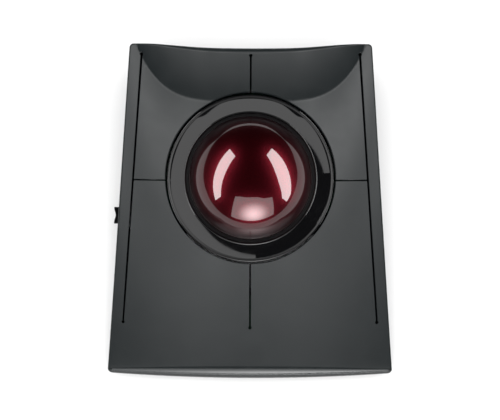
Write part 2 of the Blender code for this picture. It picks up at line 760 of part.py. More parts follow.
def mode_switch():
    """The knob, saddle-shaped along its outer face so that a fingertip sits in it, and the switch body."""
    knob = KNOB_PLACE
    end, crest, shoulder, saddle = 0.0027, 0.0028, 0.0024, 0.0021
    reach = [(-1.0, end), (-0.8, crest), (-0.5, shoulder), (0.0, saddle)]
    reach += [(-t, out) for t, out in reach[2::-1]]
    plan = [(knob.x - out, knob.y + t * KNOB_HALF_LENGTH) for t, out in reach]
    plan.append((knob.x + KNOB_ROOT, knob.y + KNOB_HALF_LENGTH))
    plan.append((knob.x + KNOB_ROOT, knob.y - KNOB_HALF_LENGTH))
    bm = prism_bm(plan, knob.z - KNOB_HALF_HEIGHT, knob.z + KNOB_HALF_HEIGHT)
    add_object("mode_switch_knob", mesh_from(bm, "mode_switch_knob"), gloss_black(), knob)
    front = knob + Vector((KNOB_ROOT + HOLE_CLEARANCE, 0.0, 0.0))
    half = Vector((0.0, MODE_SWITCH_HALF_LENGTH, MODE_SWITCH_HALF_HEIGHT))
    back = front + Vector((MODE_SWITCH_DEPTH, 0.0, 0.0))
    box("mode_switch_body", front - half, back + half, steel(), 0.0003)


def pairing_button():
    """A round button in the underside and the tact switch that it presses."""
    face, top = FOOT_HEIGHT + 0.0003, PLATE_TOP + 0.0002
    origin = (*PAIRING_PLACE, top)
    disc("pairing_button", PAIRING_RADIUS, face, top, PAIRING_PLACE, plunger_white(), 20, origin)
    half = Vector((PAIRING_SWITCH_HALF, PAIRING_SWITCH_HALF, PAIRING_SWITCH_HEIGHT / 2))
    centre = Vector((*PAIRING_PLACE, MAIN_BOARD_BOTTOM - GAP - PAIRING_SWITCH_HEIGHT / 2))
    box("pairing_switch", centre - half, centre + half, steel())


def receiver():
    low, high = centred_box(RECEIVER_CENTRE, RECEIVER_SIZE)
    low.z = FOOT_HEIGHT + 0.0001
    origin = (RECEIVER_CENTRE.x, RECEIVER_CENTRE.y, low.z)
    box("receiver", low, high, gloss_black(), 0.0006, 2, origin)
    thick = BAY_WALL + GAP
    bay_low = Vector((low.x - thick, low.y - thick, PLATE_TOP + GAP))
    bay_high = high + Vector((thick, thick, thick))
    bay = add_object("receiver_bay", mesh_from(box_bm(bay_low, bay_high), "receiver_bay"))
    space = box_bm(low - Vector((GAP, GAP, 0.01)), high + Vector((GAP, GAP, GAP)))
    combine(bay, [cutter(space, "bay_space")], "DIFFERENCE")
    bay.data.materials.append(case_plastic())


def weight_plate():
    """A steel plate on the floor of the case that keeps it from sliding."""
    box("weight_plate", WEIGHT_LOW, WEIGHT_HIGH, steel(), 0.0004)


# ---- Feet and screws ----------------------------------------------------------------------------
FOOT_HALF_LENGTH = 0.0095
FOOT_HALF_WIDTH = 0.0035


def foot_places():
    return {
        "foot_front_left": (-0.040, -0.0610),
        "foot_front_right": (0.040, -0.0610),
        "foot_rear_left": (-0.0315, 0.0590),
        "foot_rear_right": (0.0315, 0.0590),
    }


def feet():
    steps = 8
    straight = FOOT_HALF_LENGTH - FOOT_HALF_WIDTH
    for name, (x, y) in foot_places().items():
        plan = []
        for centre, start in ((x + straight, -90), (x - straight, 90)):
            for i in range(steps + 1):
                angle = math.radians(start + 180 * i / steps)
                along, across = FOOT_HALF_WIDTH * math.cos(angle), FOOT_HALF_WIDTH * math.sin(angle)
                plan.append((centre + along, y + across))
        add_object(name, mesh_from(prism_bm(plan, 0.0, FOOT_HEIGHT - 0.0001), name), rubber())


SCREW_FRONT = Vector((0.0535, -0.0575))
SCREW_REAR = Vector((0.0443, 0.0618))
SCREW_HEAD_RADIUS = 0.0026
SCREW_SHANK_RADIUS = 0.0013
SCREW_HOLE_RADIUS = 0.0018
BOSS_RADIUS = 0.0027
BOSS_BORE = 0.0016
REAR_BOSS_TOP = 0.0240


def screw_places():
    return [(sign * spot.x, spot.y) for spot in (SCREW_FRONT, SCREW_REAR) for _, sign in SIDES]


def screw_bosses():
    """Posts of the cover that the case screws run up into, and the holes in them."""
    posts = []
    bores = []
    for x, y in screw_places():
        sign = math.copysign(1, x)
        rear = y > 0
        top = REAR_BOSS_TOP if rear else deck_height(x, y) - DECK_THICKNESS / 2
        posts.append(cutter(prism_bm(circle(BOSS_RADIUS, 16, (x, y)), PLATE_TOP + GAP, top), "screw_boss"))
        if rear:
            low = (x - 0.0012, y, parting_height(y) + 0.001)
            high = (x + 0.0012, LENGTH / 2 - 0.0026, REAR_BOSS_TOP - 0.001)
            posts.append(cutter(box_bm(low, high), "boss_rib"))
        bore = prism_bm(circle(BOSS_BORE, 16, (x, y)), 0.0, PLATE_TOP + 0.0060)
        bores.append(cutter(bore, "screw_bore"))
    return posts, bores


def case_screws():
    """Screws from below: a head under the plate's face and a shank up to the cover's bosses."""
    for number, (x, y) in enumerate(screw_places(), start=1):
        profile = [
            (0.0, FOOT_HEIGHT - 0.0009),
            (SCREW_HEAD_RADIUS, FOOT_HEIGHT - 0.0009),
            (SCREW_HEAD_RADIUS, FOOT_HEIGHT - GAP / 3),
            (SCREW_SHANK_RADIUS, FOOT_HEIGHT - GAP / 3),
            (SCREW_SHANK_RADIUS, PLATE_TOP + 0.0040),
            (0.0, PLATE_TOP + 0.0046),
        ]
        bm = place(turned_bm(profile, 14), (x, y, 0.0))
        smooth(add_object("case_screw_%d" % number, mesh_from(bm, "case_screw"), steel()))


# ---- Assembly -----------------------------------------------------------------------------------
def main():
    clear_scene()
    top_cover()
    for side, sign in SIDES:
        button("button_front_" + side, sign, True)
        button("button_rear_" + side, sign, False)
    lower_case()
    trim_ring()
    ball()
    ball_cup()
    bearings()
    sensors()
    main_board()
    switch_boards()
    usb_socket()
    mode_switch()
    pairing_button()
    receiver()
    weight_plate()
    feet()
    case_screws()


main()
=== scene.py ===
"""Looks of the wireless trackball mouse: fine meshes, materials, floor, light and camera.

Frame: +X right, +Y towards the rear, +Z up, in metres. The formulas of the deck's surface and of
the case's outline are those of the CAD.
"""

import math

import bmesh
import bpy
from mathutils import Euler, Matrix, Vector


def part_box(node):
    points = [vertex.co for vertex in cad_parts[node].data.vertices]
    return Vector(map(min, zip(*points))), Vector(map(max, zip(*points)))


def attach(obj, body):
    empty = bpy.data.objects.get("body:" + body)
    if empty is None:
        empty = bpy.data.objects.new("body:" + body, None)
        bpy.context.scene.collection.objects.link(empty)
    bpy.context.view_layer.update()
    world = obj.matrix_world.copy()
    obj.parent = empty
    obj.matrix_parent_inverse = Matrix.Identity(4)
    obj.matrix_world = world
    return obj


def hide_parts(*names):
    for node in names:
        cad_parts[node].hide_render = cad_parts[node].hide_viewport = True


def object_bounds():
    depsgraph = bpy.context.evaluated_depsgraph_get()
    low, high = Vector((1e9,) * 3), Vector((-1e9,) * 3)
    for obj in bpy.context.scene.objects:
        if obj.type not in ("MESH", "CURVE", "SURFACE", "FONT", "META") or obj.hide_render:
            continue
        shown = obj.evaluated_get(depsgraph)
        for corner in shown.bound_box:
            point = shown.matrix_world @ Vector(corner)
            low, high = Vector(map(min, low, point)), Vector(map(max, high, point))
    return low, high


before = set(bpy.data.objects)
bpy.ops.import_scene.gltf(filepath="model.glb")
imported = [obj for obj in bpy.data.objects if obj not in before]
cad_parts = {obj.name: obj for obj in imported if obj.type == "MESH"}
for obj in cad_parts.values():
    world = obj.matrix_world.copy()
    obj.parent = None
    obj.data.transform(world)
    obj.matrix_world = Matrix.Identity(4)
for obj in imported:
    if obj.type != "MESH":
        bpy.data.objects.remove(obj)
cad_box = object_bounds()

# ---- Dimensions shared with the CAD -------------------------------------------------------------
LENGTH = 0.150
HEIGHT = 0.0585
FRONT_HALF_WIDTH = 0.0657
REAR_HALF_WIDTH = 0.05435
FRONT_BOW = 0.0024
REAR_BOW = 0.0012
CORNER_RADIUS = 0.002
GAP = 0.0003
FOOT_HEIGHT = 0.0012
PLATE_TOP = 0.0028
DECK_THICKNESS = 0.0020

BALL_RADIUS = 0.0275
BALL_CENTRE = Vector((0.0, 0.0147, HEIGHT - BALL_RADIUS))

DECK_SLOPE = math.tan(math.radians(7.0))
DECK_FRONT_Y = -0.0692
DECK_FRONT_Z = 0.0117
FRONT_CROWN = 0.0025
REAR_DISH = 0.0075
DISH_START = 0.016
DISH_END = 0.062
SCOOP_START = 0.0505
SCOOP_SWEEP = 0.0185
SCOOP_HALF_WIDTH = 0.049
SCOOP_SQUARENESS = 4.8
SCOOP_KICK = 0.22
SCOOP_CURVE = -1.6
CREASE_WIDTH = 0.0012
FRONT_ROLL = 0.0045
FRONT_ROLL_FADE = 0.0020
FOLD_BOW = 0.0012
REAR_ROLL_WIDTH = 0.0027
REAR_ROLL = 0.0020

PARTING_FRONT_Z = 0.0045
PARTING_SLOPE = 0.055
SKIRT_TAPER = 0.980
TRAY_TAPER = 0.905

SLOT_FRONT = Vector((0.0581, -0.0487))
SLOT_REAR = Vector((0.0490, 0.0708))
SEAM_Y = BALL_CENTRE.y
SEAM_WIDTH = 0.0005
HINGE_FRONT_Y = -0.0487
HINGE_REAR_Y = 0.0697

RING_INNER = 0.0292
BUTTON_CUTOUT = 0.0386
RING_TILT = math.atan(DECK_SLOPE)
RING_TOP = -0.0029
RING_LIP_BOTTOM = -0.0050
KNOB_PLACE = Vector((-0.0600, -0.0005, 0.0135))

# ---- Finer dimensions, of the visual pieces alone -----------------------------------------------
# The slots are a little narrower and the ring a little wider than in the CAD.
SLOT_WIDTH = 0.0007
RING_OUTER = 0.0382
SIDE_EDGE = 0.0008
SLOT_EDGE = 0.0002
CUTOUT_EDGE = 0.0005
CUTOUT_EDGE_FLATNESS = 0.6
ROUND_STEPS = 5
WALL_LEAN = 0.08
WALL_INSET = 0.0018
DOT_RADIUS = 0.0007
CENTRE_SLOT_REACH = 0.0026
KNOB_SLOT_HALF = Vector((0.006, 0.0062, 0.0019))
# A level below the flat panels that marks the points of the skirt's lower edge.
SKIRT_LEVEL = -0.1

# Spacings of the cuts that let the flat panels follow the deck, finest in the scoop.
COLUMN_STEP = 0.0028
REAR_COLUMN_STEP = 0.0018
FRONT_ROW_STEP = 0.0024
ROW_STEP = 0.003
REAR_ROW_STEP = 0.0025
FRAME_SCOOP_STEP = 0.0009
BUTTON_SCOOP_STEP = 0.0008
SCOOP_MARGIN = 0.002

TRAY_WALL = 0.0014
TRAY_BEVEL = 0.0012
SCREW_HOLE_RADIUS = 0.0018
FOOT_SIZE = (0.019, 0.007)
FOOT_SINK = 0.0002
FOOT_ROUNDING = 0.0003
FOOT_RECESS_SIZE = (0.0196, 0.0076)
FOOT_RECESS_DEPTH = 0.0003
BUTTON_HOLE_RADIUS = 0.0034
LABEL_LOW = (-0.024, -0.004)
LABEL_HIGH = (0.024, 0.020)
LABEL_CORNER = 0.002
LABEL_DEPTH = 0.00025
SOCKET_HOLE = (0.060, 0.085)
SOCKET_CLEARANCE = 0.0004
SOCKET_WALL = 0.00027
SOCKET_BACK = 0.002
RECEIVER_CORNER = 0.0008
CREASE_ANGLE = 35.0
# How far a cutting tool stands out of what it cuts.
OVERSHOOT = 0.001

SCREW_HEAD_RADIUS = 0.0026
SCREW_HEAD_ROUNDING = 0.0006
SCREW_HEAD_HEIGHT = 0.0008
SCREW_HEAD_SLANT = 0.00002
SCREW_SHANK_RADIUS = 0.0012
SCREW_BLADE_LOW = (-0.0014, -0.00028, -0.0001)
SCREW_BLADE_HIGH = (0.0014, 0.00028, 0.0005)

# The ring's section, as radii and heights in its own plane.
RING_DEPTH = 0.0030
RING_LIP = 0.0008
RING_LIP_RISE = 0.0006
RING_GROOVE = RING_OUTER - 0.0014
RING_GROOVE_HALF = 0.0001
RING_FOOT_ROUNDING = 0.0003
RING_FOOT_RISE = 0.0004
RING_TOP_ROUNDING = 0.0004
RING_TOP_INSET = 0.0005
RING_RIM_WIDTH = 0.0020
RING_SKIRT_WIDTH = 0.0029
RING_SKIRT_DROP = 0.0004
RING_CONE_ROWS = (0.02, 0.25, 0.5, 0.75, 0.98)


# ---- The deck's surface -------------------------------------------------------------------------
def rise(t):
    """0 at t = 0, 1 at t = 1, level at both ends."""
    t = min(max(t, 0.0), 1.0)
    return t * t * (3.0 - 2.0 * t)


def half_width(y):
    return REAR_HALF_WIDTH + (FRONT_HALF_WIDTH - REAR_HALF_WIDTH) * (0.5 - y / LENGTH)


def front_edge(x):
    return -LENGTH / 2 + FRONT_BOW * (x / FRONT_HALF_WIDTH) ** 2


def rear_edge(x):
    return LENGTH / 2 - REAR_BOW * max(0.0, 1 - (x / REAR_HALF_WIDTH) ** 2)


def deck_height(x, y):
    """The deck without its rolled edges, which the rounding of the outline makes."""
    across = min(abs(x) / half_width(y), 1.0)
    along = min(max((y - DECK_FRONT_Y) / (LENGTH / 2 - DECK_FRONT_Y), 0.0), 1.0)
    height = DECK_FRONT_Z + DECK_SLOPE * (y - DECK_FRONT_Y)
    dished = rise((abs(x) - DISH_START) / (DISH_END - DISH_START))
    height += REAR_DISH * along**1.5 * dished - FRONT_CROWN * (1 - along) ** 1.5 * across**2
    scoop = y - SCOOP_START - SCOOP_SWEEP * (abs(x) / SCOOP_HALF_WIDTH) ** SCOOP_SQUARENESS
    into_crease = min(max(scoop + CREASE_WIDTH / 2, 0.0), CREASE_WIDTH)
    kick = into_crease**2 / (2 * CREASE_WIDTH) + max(scoop - CREASE_WIDTH / 2, 0.0)
    return height + SCOOP_KICK * kick + SCOOP_CURVE * max(scoop, 0.0) ** 2


def deck_gradient(x, y, step=0.0002):
    along_x = (deck_height(x + step, y) - deck_height(x - step, y)) / (2 * step)
    along_y = (deck_height(x, y + step) - deck_height(x, y - step)) / (2 * step)
    return Vector((along_x, along_y))


def parting_height(y):
    return PARTING_FRONT_Z + PARTING_SLOPE * (y + LENGTH / 2)


def slot_x(y):
    along = (y - SLOT_FRONT.y) / (SLOT_REAR.y - SLOT_FRONT.y)
    return SLOT_FRONT.x + (SLOT_REAR.x - SLOT_FRONT.x) * along


def ring_deck_level():
    """The deck's height along the ring's axis, counted from the ball's centre."""
    return (deck_height(0.0, BALL_CENTRE.y) - BALL_CENTRE.z) * math.cos(RING_TILT)


def ring_plan_centre():
    """Where the ring's axis passes through the deck."""
    return Vector((0.0, BALL_CENTRE.y - ring_deck_level() * math.sin(RING_TILT)))


# ---- Outlines in plan ---------------------------------------------------------------------------
def between(start, end, count):
    """Points from start up to but not including end."""
    start, end = Vector(start), Vector(end)
    return [start.lerp(end, i / count) for i in range(count)]


def fillet(before, corner, after, radius, segments=8):
    """Points of an arc that rounds a corner of an outline."""
    to_before = (before - corner).normalized()
    to_after = (after - corner).normalized()
    half_angle = to_before.angle(to_after) / 2
    centre = corner + (to_before + to_after).normalized() * radius / math.sin(half_angle)
    start = corner + to_before * radius / math.tan(half_angle) - centre
    end = corner + to_after * radius / math.tan(half_angle) - centre
    spokes = [start.lerp(end, i / segments).normalized() for i in range(segments + 1)]
    return [centre + spoke * radius for spoke in spokes]


def case_outline(inset=0.0, across=40, along=24):
    """The case's plan outline, anticlockwise from its front left corner, moved in by inset."""
    front_half = half_width(front_edge(FRONT_HALF_WIDTH)) - inset
    rear_half = REAR_HALF_WIDTH - inset
    radius = CORNER_RADIUS - inset
    shares = [2 * i / across - 1 for i in range(across + 1)]
    front = [Vector((front_half * t, front_edge(front_half * t) + inset)) for t in shares]
    rear = [Vector((-rear_half * t, rear_edge(-rear_half * t) - inset)) for t in shares]
    right = between(front[-1], rear[0], along)[1:]
    left = between(rear[-1], front[0], along)[1:]
    reach = 2.5 * radius
    front = [front[0]] + [p for p in front if abs(p.x) < front_half - reach] + [front[-1]]
    rear = [rear[0]] + [p for p in rear if abs(p.x) < rear_half - reach] + [rear[-1]]
    points = fillet(left[-1], front[0], front[1], radius) + front[1:-1]
    points += fillet(front[-2], front[-1], right[0], radius) + right
    points += fillet(right[-1], rear[0], rear[1], radius) + rear[1:-1]
    points += fillet(rear[-2], rear[-1], left[0], radius) + left
    return points


def case_rounding(point, outward):
    """(width, height) of the deck's edge: rolled at the front and rear, crisp at the sides."""
    across = min(abs(point.x) / half_width(point.y), 1.0)
    if outward.y < 0:
        width = DECK_FRONT_Y - FOLD_BOW * across**2 - front_edge(point.x)
        height = FRONT_ROLL - FRONT_ROLL_FADE * across**2
    else:
        width = max(REAR_ROLL_WIDTH * (1 - across**2), SIDE_EDGE)
        height = max(REAR_ROLL * (1 - across**2), SIDE_EDGE)
    share = outward.y**2
    return SIDE_EDGE + (width - SIDE_EDGE) * share, SIDE_EDGE + (height - SIDE_EDGE) * share


def circle(radius, segments, centre=(0.0, 0.0), start=0.0, turn=2 * math.pi):
    centre = Vector(centre)
    angles = [start + turn * i / segments for i in range(segments)]
    return [centre + radius * Vector((math.cos(a), math.sin(a))) for a in angles]


def slot_end(x, y, facing, reach):
    """The round end of a slot that passes the hinge line at (x, y).

    facing is -1 at the front and 1 at the rear.
    """
    edge = SLOT_WIDTH / 2
    depth = math.sqrt(DOT_RADIUS**2 - edge**2)
    opening = math.atan2(depth, edge)
    dot = circle(DOT_RADIUS, 12, (0.0, -depth - reach), math.pi - opening, math.pi + 2 * opening)
    local = dot + [Vector((edge, -reach))]
    if reach > 0:
        local = [Vector((-edge, 0.0))] + local + [Vector((edge, 0.0))]
    return [Vector((x, y)) - facing * p for p in local]


def opening_outline():
    """The hole in the cover for the four buttons, anticlockwise, with the slots' round ends."""
    points = []
    for facing, y, reach in ((-1, HINGE_FRONT_Y, CENTRE_SLOT_REACH), (1, HINGE_REAR_Y, 0.0)):
        side = -facing * slot_x(y)
        for x, length in ((side * -1, 0.0), (0.0, reach), (side, 0.0)):
            points += slot_end(x, y, facing, length)
    return points


def on_hinge_line(point):
    return min(abs(point.y - HINGE_FRONT_Y), abs(point.y - HINGE_REAR_Y)) < 1e-6


def opening_rounding(point, outward):
    return (0.0, 0.0) if on_hinge_line(point) else (SLOT_EDGE, SLOT_EDGE)


def button_outline(side, front):
    """One quarter of the button field, from its hinge line to the ring's cut-out, anticlockwise."""
    edge = SLOT_WIDTH / 2
    facing = -1 if front else 1
    hinge = HINGE_FRONT_Y if front else HINGE_REAR_Y
    seam = SEAM_Y + facing * SEAM_WIDTH / 2
    centre = ring_plan_centre()
    at_seam = math.asin((seam - centre.y) / BUTTON_CUTOUT)
    at_slot = facing * math.acos(edge / BUTTON_CUTOUT)
    points = [Vector((edge, hinge))]
    points += [Vector((slot_x(y) - edge, y)) for y in (hinge, seam)]
    points += circle(BUTTON_CUTOUT, 40, centre, at_seam, at_slot - at_seam)
    points.append(centre + BUTTON_CUTOUT * Vector((math.cos(at_slot), math.sin(at_slot))))
    if not front:
        points.reverse()
    if side < 0:
        points = [Vector((-p.x, p.y)) for p in reversed(points)]
    return points


def button_rounding(point, outward):
    if on_hinge_line(point):
        return 0.0, 0.0
    if abs((point - ring_plan_centre()).length - BUTTON_CUTOUT) < 1e-4:
        return CUTOUT_EDGE, CUTOUT_EDGE * CUTOUT_EDGE_FLATNESS
    return SLOT_EDGE, SLOT_EDGE


# ---- Plain solids -------------------------------------------------------------------------------
def block_bm(low, high):
    bm = bmesh.new()
    bmesh.ops.create_cube(bm, size=1.0)
    low, high = Vector(low), Vector(high)
    for vert in bm.verts:
        vert.co = Vector(l + (h - l) * (c + 0.5) for l, h, c in zip(low, high, vert.co))
    return bm


def prism_bm(points, low, high, bevel=0.0, segments=3):
    """A closed solid of a plan outline between two heights, with its flat faces' edges rounded."""
    bm = bmesh.new()
    bottom = bm.faces.new([bm.verts.new((p[0], p[1], low)) for p in points])
    raised = bmesh.ops.extrude_face_region(bm, geom=[bottom])
    verts = [v for v in raised["geom"] if isinstance(v, bmesh.types.BMVert)]
    bmesh.ops.translate(bm, verts=verts, vec=(0, 0, high - low))
    bmesh.ops.recalc_face_normals(bm, faces=bm.faces)
    if bevel:
        level = [e for e in bm.edges if abs(e.verts[0].co.z - e.verts[1].co.z) < 1e-9]
        bmesh.ops.bevel(
            bm, geom=level, offset=bevel, segments=segments, affect="EDGES", profile=0.5
        )
    return bm


def stadium(centre, length, width, steps_round=12):
    """A straight-sided outline with round ends, long across X."""
    radius = width / 2
    reach = length / 2 - radius
    points = []
    for side in (1, -1):
        start = -side * math.pi / 2
        for i in range(steps_round + 1):
            angle = start + math.pi * i / steps_round
            x = centre[0] + side * reach + radius * math.cos(angle)
            points.append(Vector((x, centre[1] + radius * math.sin(angle))))
    return points


def rounded_rectangle(low, high, radius):
    xs = (low[0], high[0], high[0], low[0])
    ys = (low[1], low[1], high[1], high[1])
    corners = [Vector(corner) for corner in zip(xs, ys)]
    points = []
    for i in range(4):
        points += fillet(corners[i - 1], corners[i], corners[(i + 1) % 4], radius, 6)
    return points


def turned_bm(profile, segments):
    """Turns a (radius, height) profile about the Z axis. A point at radius 0 closes to a pole."""
    bm = bmesh.new()
    rings = []
    for radius, height in profile:
        count = 1 if radius < 1e-7 else segments
        turns = [2 * math.pi * i / segments for i in range(count)]
        places = [(radius * math.cos(t), radius * math.sin(t), height) for t in turns]
        rings.append([bm.verts.new(place) for place in places])
    pairs = list(zip(rings, rings[1:]))
    if profile[0][0] > 1e-7:
        pairs.append((rings[-1], rings[0]))
    for lower, upper in pairs:
        for i in range(segments):
            j = (i + 1) % segments
            if len(lower) == 1:
                bm.faces.new((lower[0], upper[j], upper[i]))
            elif len(upper) == 1:
                bm.faces.new((lower[i], lower[j], upper[0]))
            else:
                bm.faces.new((lower[i], lower[j], upper[j], upper[i]))
    bmesh.ops.recalc_face_normals(bm, faces=bm.faces)
    return bm


def arc(centre, radius, start, end, count=6):
    """(radius, height) points of a rounded corner of a turned profile, angles in degrees."""
    angles = [math.radians(start + (end - start) * i / count) for i in range(count + 1)]
    return [(centre[0] + radius * math.cos(a), centre[1] + radius * math.sin(a)) for a in angles]


def placed(bm, location, rotation=(0.0, 0.0, 0.0)):
    matrix = Matrix.LocRotScale(Vector(location), Euler(rotation), None)
    bmesh.ops.transform(bm, matrix=matrix, verts=bm.verts)
    return bm


def smooth_mesh(bm, name, angle=40.0):
    bmesh.ops.recalc_face_normals(bm, faces=bm.faces)
    mesh = bpy.data.meshes.new(name)
    bm.to_mesh(mesh)
    bm.free()
    mesh.shade_smooth()
    mesh.set_sharp_from_angle(angle=math.radians(angle))
    return mesh


# ---- Casings that follow the deck ---------------------------------------------------------------
# How a face is shaded: by its own plane, as part of the deck's curve, or as an upright wall.
FLAT, CURVED, WALL = 0, 1, 2
# The sine of the turn from which a point of an outline counts as a corner.
SHARP_TURN = 0.2


class Rim:
    """The rounded edge of a flat panel along a closed outline, which runs anticlockwise."""

    def __init__(self, points, rounding, hole=False):
        self.points = [Vector(p) for p in points]
        count = len(points)
        sign = -1 if hole else 1
        sizes, normals = [], []
        for i, point in enumerate(points):
            along = points[(i + 1) % count] - point
            normals.append(Vector((along.y, -along.x)).normalized() * sign)
            sizes.append(rounding((point + points[(i + 1) % count]) / 2, normals[-1]))
        self.inward, self.drops, self.outward = [], [], []
        for i in range(count):
            a, b = normals[i - 1], normals[i]
            wide, narrow = sizes[i - 1], sizes[i]
            turn = a.x * b.y - a.y * b.x
            bisector = (a + b).normalized()
            if abs(turn) > SHARP_TURN:
                corner = (wide[0] * b.y - narrow[0] * a.y, narrow[0] * a.x - wide[0] * b.x)
                shift = Vector(corner) / turn
                drop = max(wide[1], narrow[1])
            else:
                shift = bisector * (wide[0] + narrow[0]) / 2
                drop = (wide[1] + narrow[1]) / 2
            self.inward.append(-shift)
            self.drops.append(drop)
            self.outward.append(bisector)

    def rows(self):
        """(points, heights, normals) of each row of the rounding, from the wall to the flat top."""
        for step in range(ROUND_STEPS + 1):
            angle = math.pi / 2 * step / ROUND_STEPS
            cosine, sine = math.cos(angle), math.sin(angle)
            points, heights, normals = [], [], []
            for point, shift, drop, out in zip(self.points, self.inward, self.drops, self.outward):
                points.append(point + shift * (1 - cosine))
                heights.append(-drop * (1 - sine))
                normal = Vector((0, 0, 1))
                if drop > 0:
                    width = max(shift.length, 1e-6)
                    height = max(drop, 1e-6)
                    lean = out * cosine * height
                    normal = Vector((lean.x, lean.y, sine * width))
                normals.append(normal.normalized())
            yield points, heights, normals


def bridge(bm, lower, upper, kind, flip=False):
    for i in range(len(lower)):
        j = (i + 1) % len(lower)
        corners = (lower[i], lower[j], upper[j], upper[i])
        face = bm.faces.new(corners[::-1] if flip else corners)
        face.material_index = kind


def fill(bm, loops, kind, up):
    """Fills the flat area between closed loops of vertices."""
    edges = [bm.edges.get((loop[i - 1], loop[i])) for loop in loops for i in range(len(loop))]
    made = bmesh.ops.triangle_fill(bm, use_beauty=True, edges=edges, normal=(0, 0, up))
    for face in made["geom"]:
        if isinstance(face, bmesh.types.BMFace):
            face.material_index = kind
            face.normal_update()
            if face.normal.z * up < 0:
                face.normal_flip()


def panel_bm(rims, walls):
    """A flat closed panel. rims round its top edges, walls(bm, tops) closes it from below."""
    bm = bmesh.new()
    lean = bm.verts.layers.float_vector.new("lean")
    out = bm.verts.layers.float_vector.new("out")
    lowest, highest = [], []
    for rim, hole in rims:
        previous = None
        for points, heights, normals in rim.rows():
            row = [bm.verts.new((p.x, p.y, z)) for p, z in zip(points, heights)]
            for vert, normal, outward in zip(row, normals, rim.outward):
                vert[lean] = normal
                vert[out] = (outward.x, outward.y, 0.0)
            if previous is None:
                lowest.append(row)
            else:
                bridge(bm, previous, row, CURVED, hole)
            previous = row
        highest.append(previous)
    fill(bm, highest, CURVED, 1)
    walls(bm, lowest)
    bmesh.ops.remove_doubles(bm, verts=bm.verts, dist=1e-7)
    return bm


def slice_bm(bm, xs, ys):
    """Cuts a flat solid along a grid of planes so that it can follow the deck's curve."""
    cuts = [((x, 0, 0), (1, 0, 0)) for x in xs] + [((0, y, 0), (0, 1, 0)) for y in ys]
    for point, normal in cuts:
        geometry = bm.verts[:] + bm.edges[:] + bm.faces[:]
        bmesh.ops.bisect_plane(bm, geom=geometry, dist=1e-7, plane_co=point, plane_no=normal)


def steps(low, high, size):
    count = max(1, round((high - low) / size))
    return [low + (high - low) * (i + 0.5) / count for i in range(count)]


def bend_to_deck(bm, name):
    """Lifts a flat panel onto the deck and gives its top the deck's own shading."""
    bmesh.ops.triangulate(bm, faces=bm.faces[:])
    lean = bm.verts.layers.float_vector["lean"]
    out = bm.verts.layers.float_vector["out"]
    shaded = {}
    bm.verts.index_update()
    for vert in bm.verts:
        x, y, z = vert.co
        slope = deck_gradient(x, y)
        flat = vert[lean]
        curved = Vector((flat.x - slope.x * flat.z, flat.y - slope.y * flat.z, flat.z))
        wall = Vector((vert[out].x, vert[out].y, -WALL_LEAN))
        shaded[vert.index] = (curved.normalized() if curved.length > 0 else None, wall.normalized())
        if z < SKIRT_LEVEL / 2:
            vert.co = Vector((x * SKIRT_TAPER, y * SKIRT_TAPER, parting_height(y) + GAP))
        else:
            vert.co.z = deck_height(x, y) + z
    for face in bm.faces:
        face.normal_update()
        face.smooth = True
    normals = []
    for face in bm.faces:
        for loop in face.loops:
            curved, wall = shaded[loop.vert.index]
            if face.material_index == CURVED and curved is not None:
                normals.extend(curved)
            elif face.material_index == WALL:
                normals.extend(wall)
            else:
                normals.extend(face.normal)
        face.material_index = 0
    mesh = bpy.data.meshes.new(name)
    bm.to_mesh(mesh)
    bm.free()
    mesh.attributes.new("shade", "FLOAT_VECTOR", "CORNER").data.foreach_set("vector", normals)
    return mesh


def shade_as_stored(mesh):
    """Sets the corner normals kept in "shade"; a face that a cut has made gets its own normal."""
    stored = mesh.attributes["shade"].data
    normals = []
    for face in mesh.polygons:
        for corner in face.loop_indices:
            kept = Vector(stored[corner].vector)
            normals.append(kept.normalized() if kept.dot(face.normal) > 0.1 else face.normal.copy())
    mesh.attributes.remove(mesh.attributes["shade"])
    mesh.normals_split_custom_set(normals)


def cut(mesh, tools):
    """The mesh with each tool's solid taken away."""
    holder = bpy.data.objects.new("holder", mesh)
    bpy.context.scene.collection.objects.link(holder)
    helpers = []
    for bm in tools:
        tool = bpy.data.meshes.new("tool")
        bmesh.ops.recalc_face_normals(bm, faces=bm.faces)
        bm.to_mesh(tool)
        bm.free()
        helper = bpy.data.objects.new("tool", tool)
        bpy.context.scene.collection.objects.link(helper)
        helpers.append(helper)
        step = holder.modifiers.new("cut", "BOOLEAN")
        step.operation = "DIFFERENCE"
        step.object = helper
    depsgraph = bpy.context.evaluated_depsgraph_get()
    done = bpy.data.meshes.new_from_object(holder.evaluated_get(depsgraph))
    for helper in helpers + [holder]:
        bpy.data.objects.remove(helper)
    return done


def cut_crisp(mesh, tools):
    """The mesh with each tool's solid taken away, smooth but for its creases."""
    done = cut(mesh, tools)
    done.shade_smooth()
    done.set_sharp_from_angle(angle=math.radians(CREASE_ANGLE))
    return done


def add_piece(name, mesh, look, body, slot, *replaced):
    piece = bpy.data.objects.new(name, mesh)
    bpy.context.scene.collection.objects.link(piece)
    mesh.materials.clear()
    mesh.materials.append(look)
    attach(piece, body)
    if replaced:
        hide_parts(*replaced)
    return piece


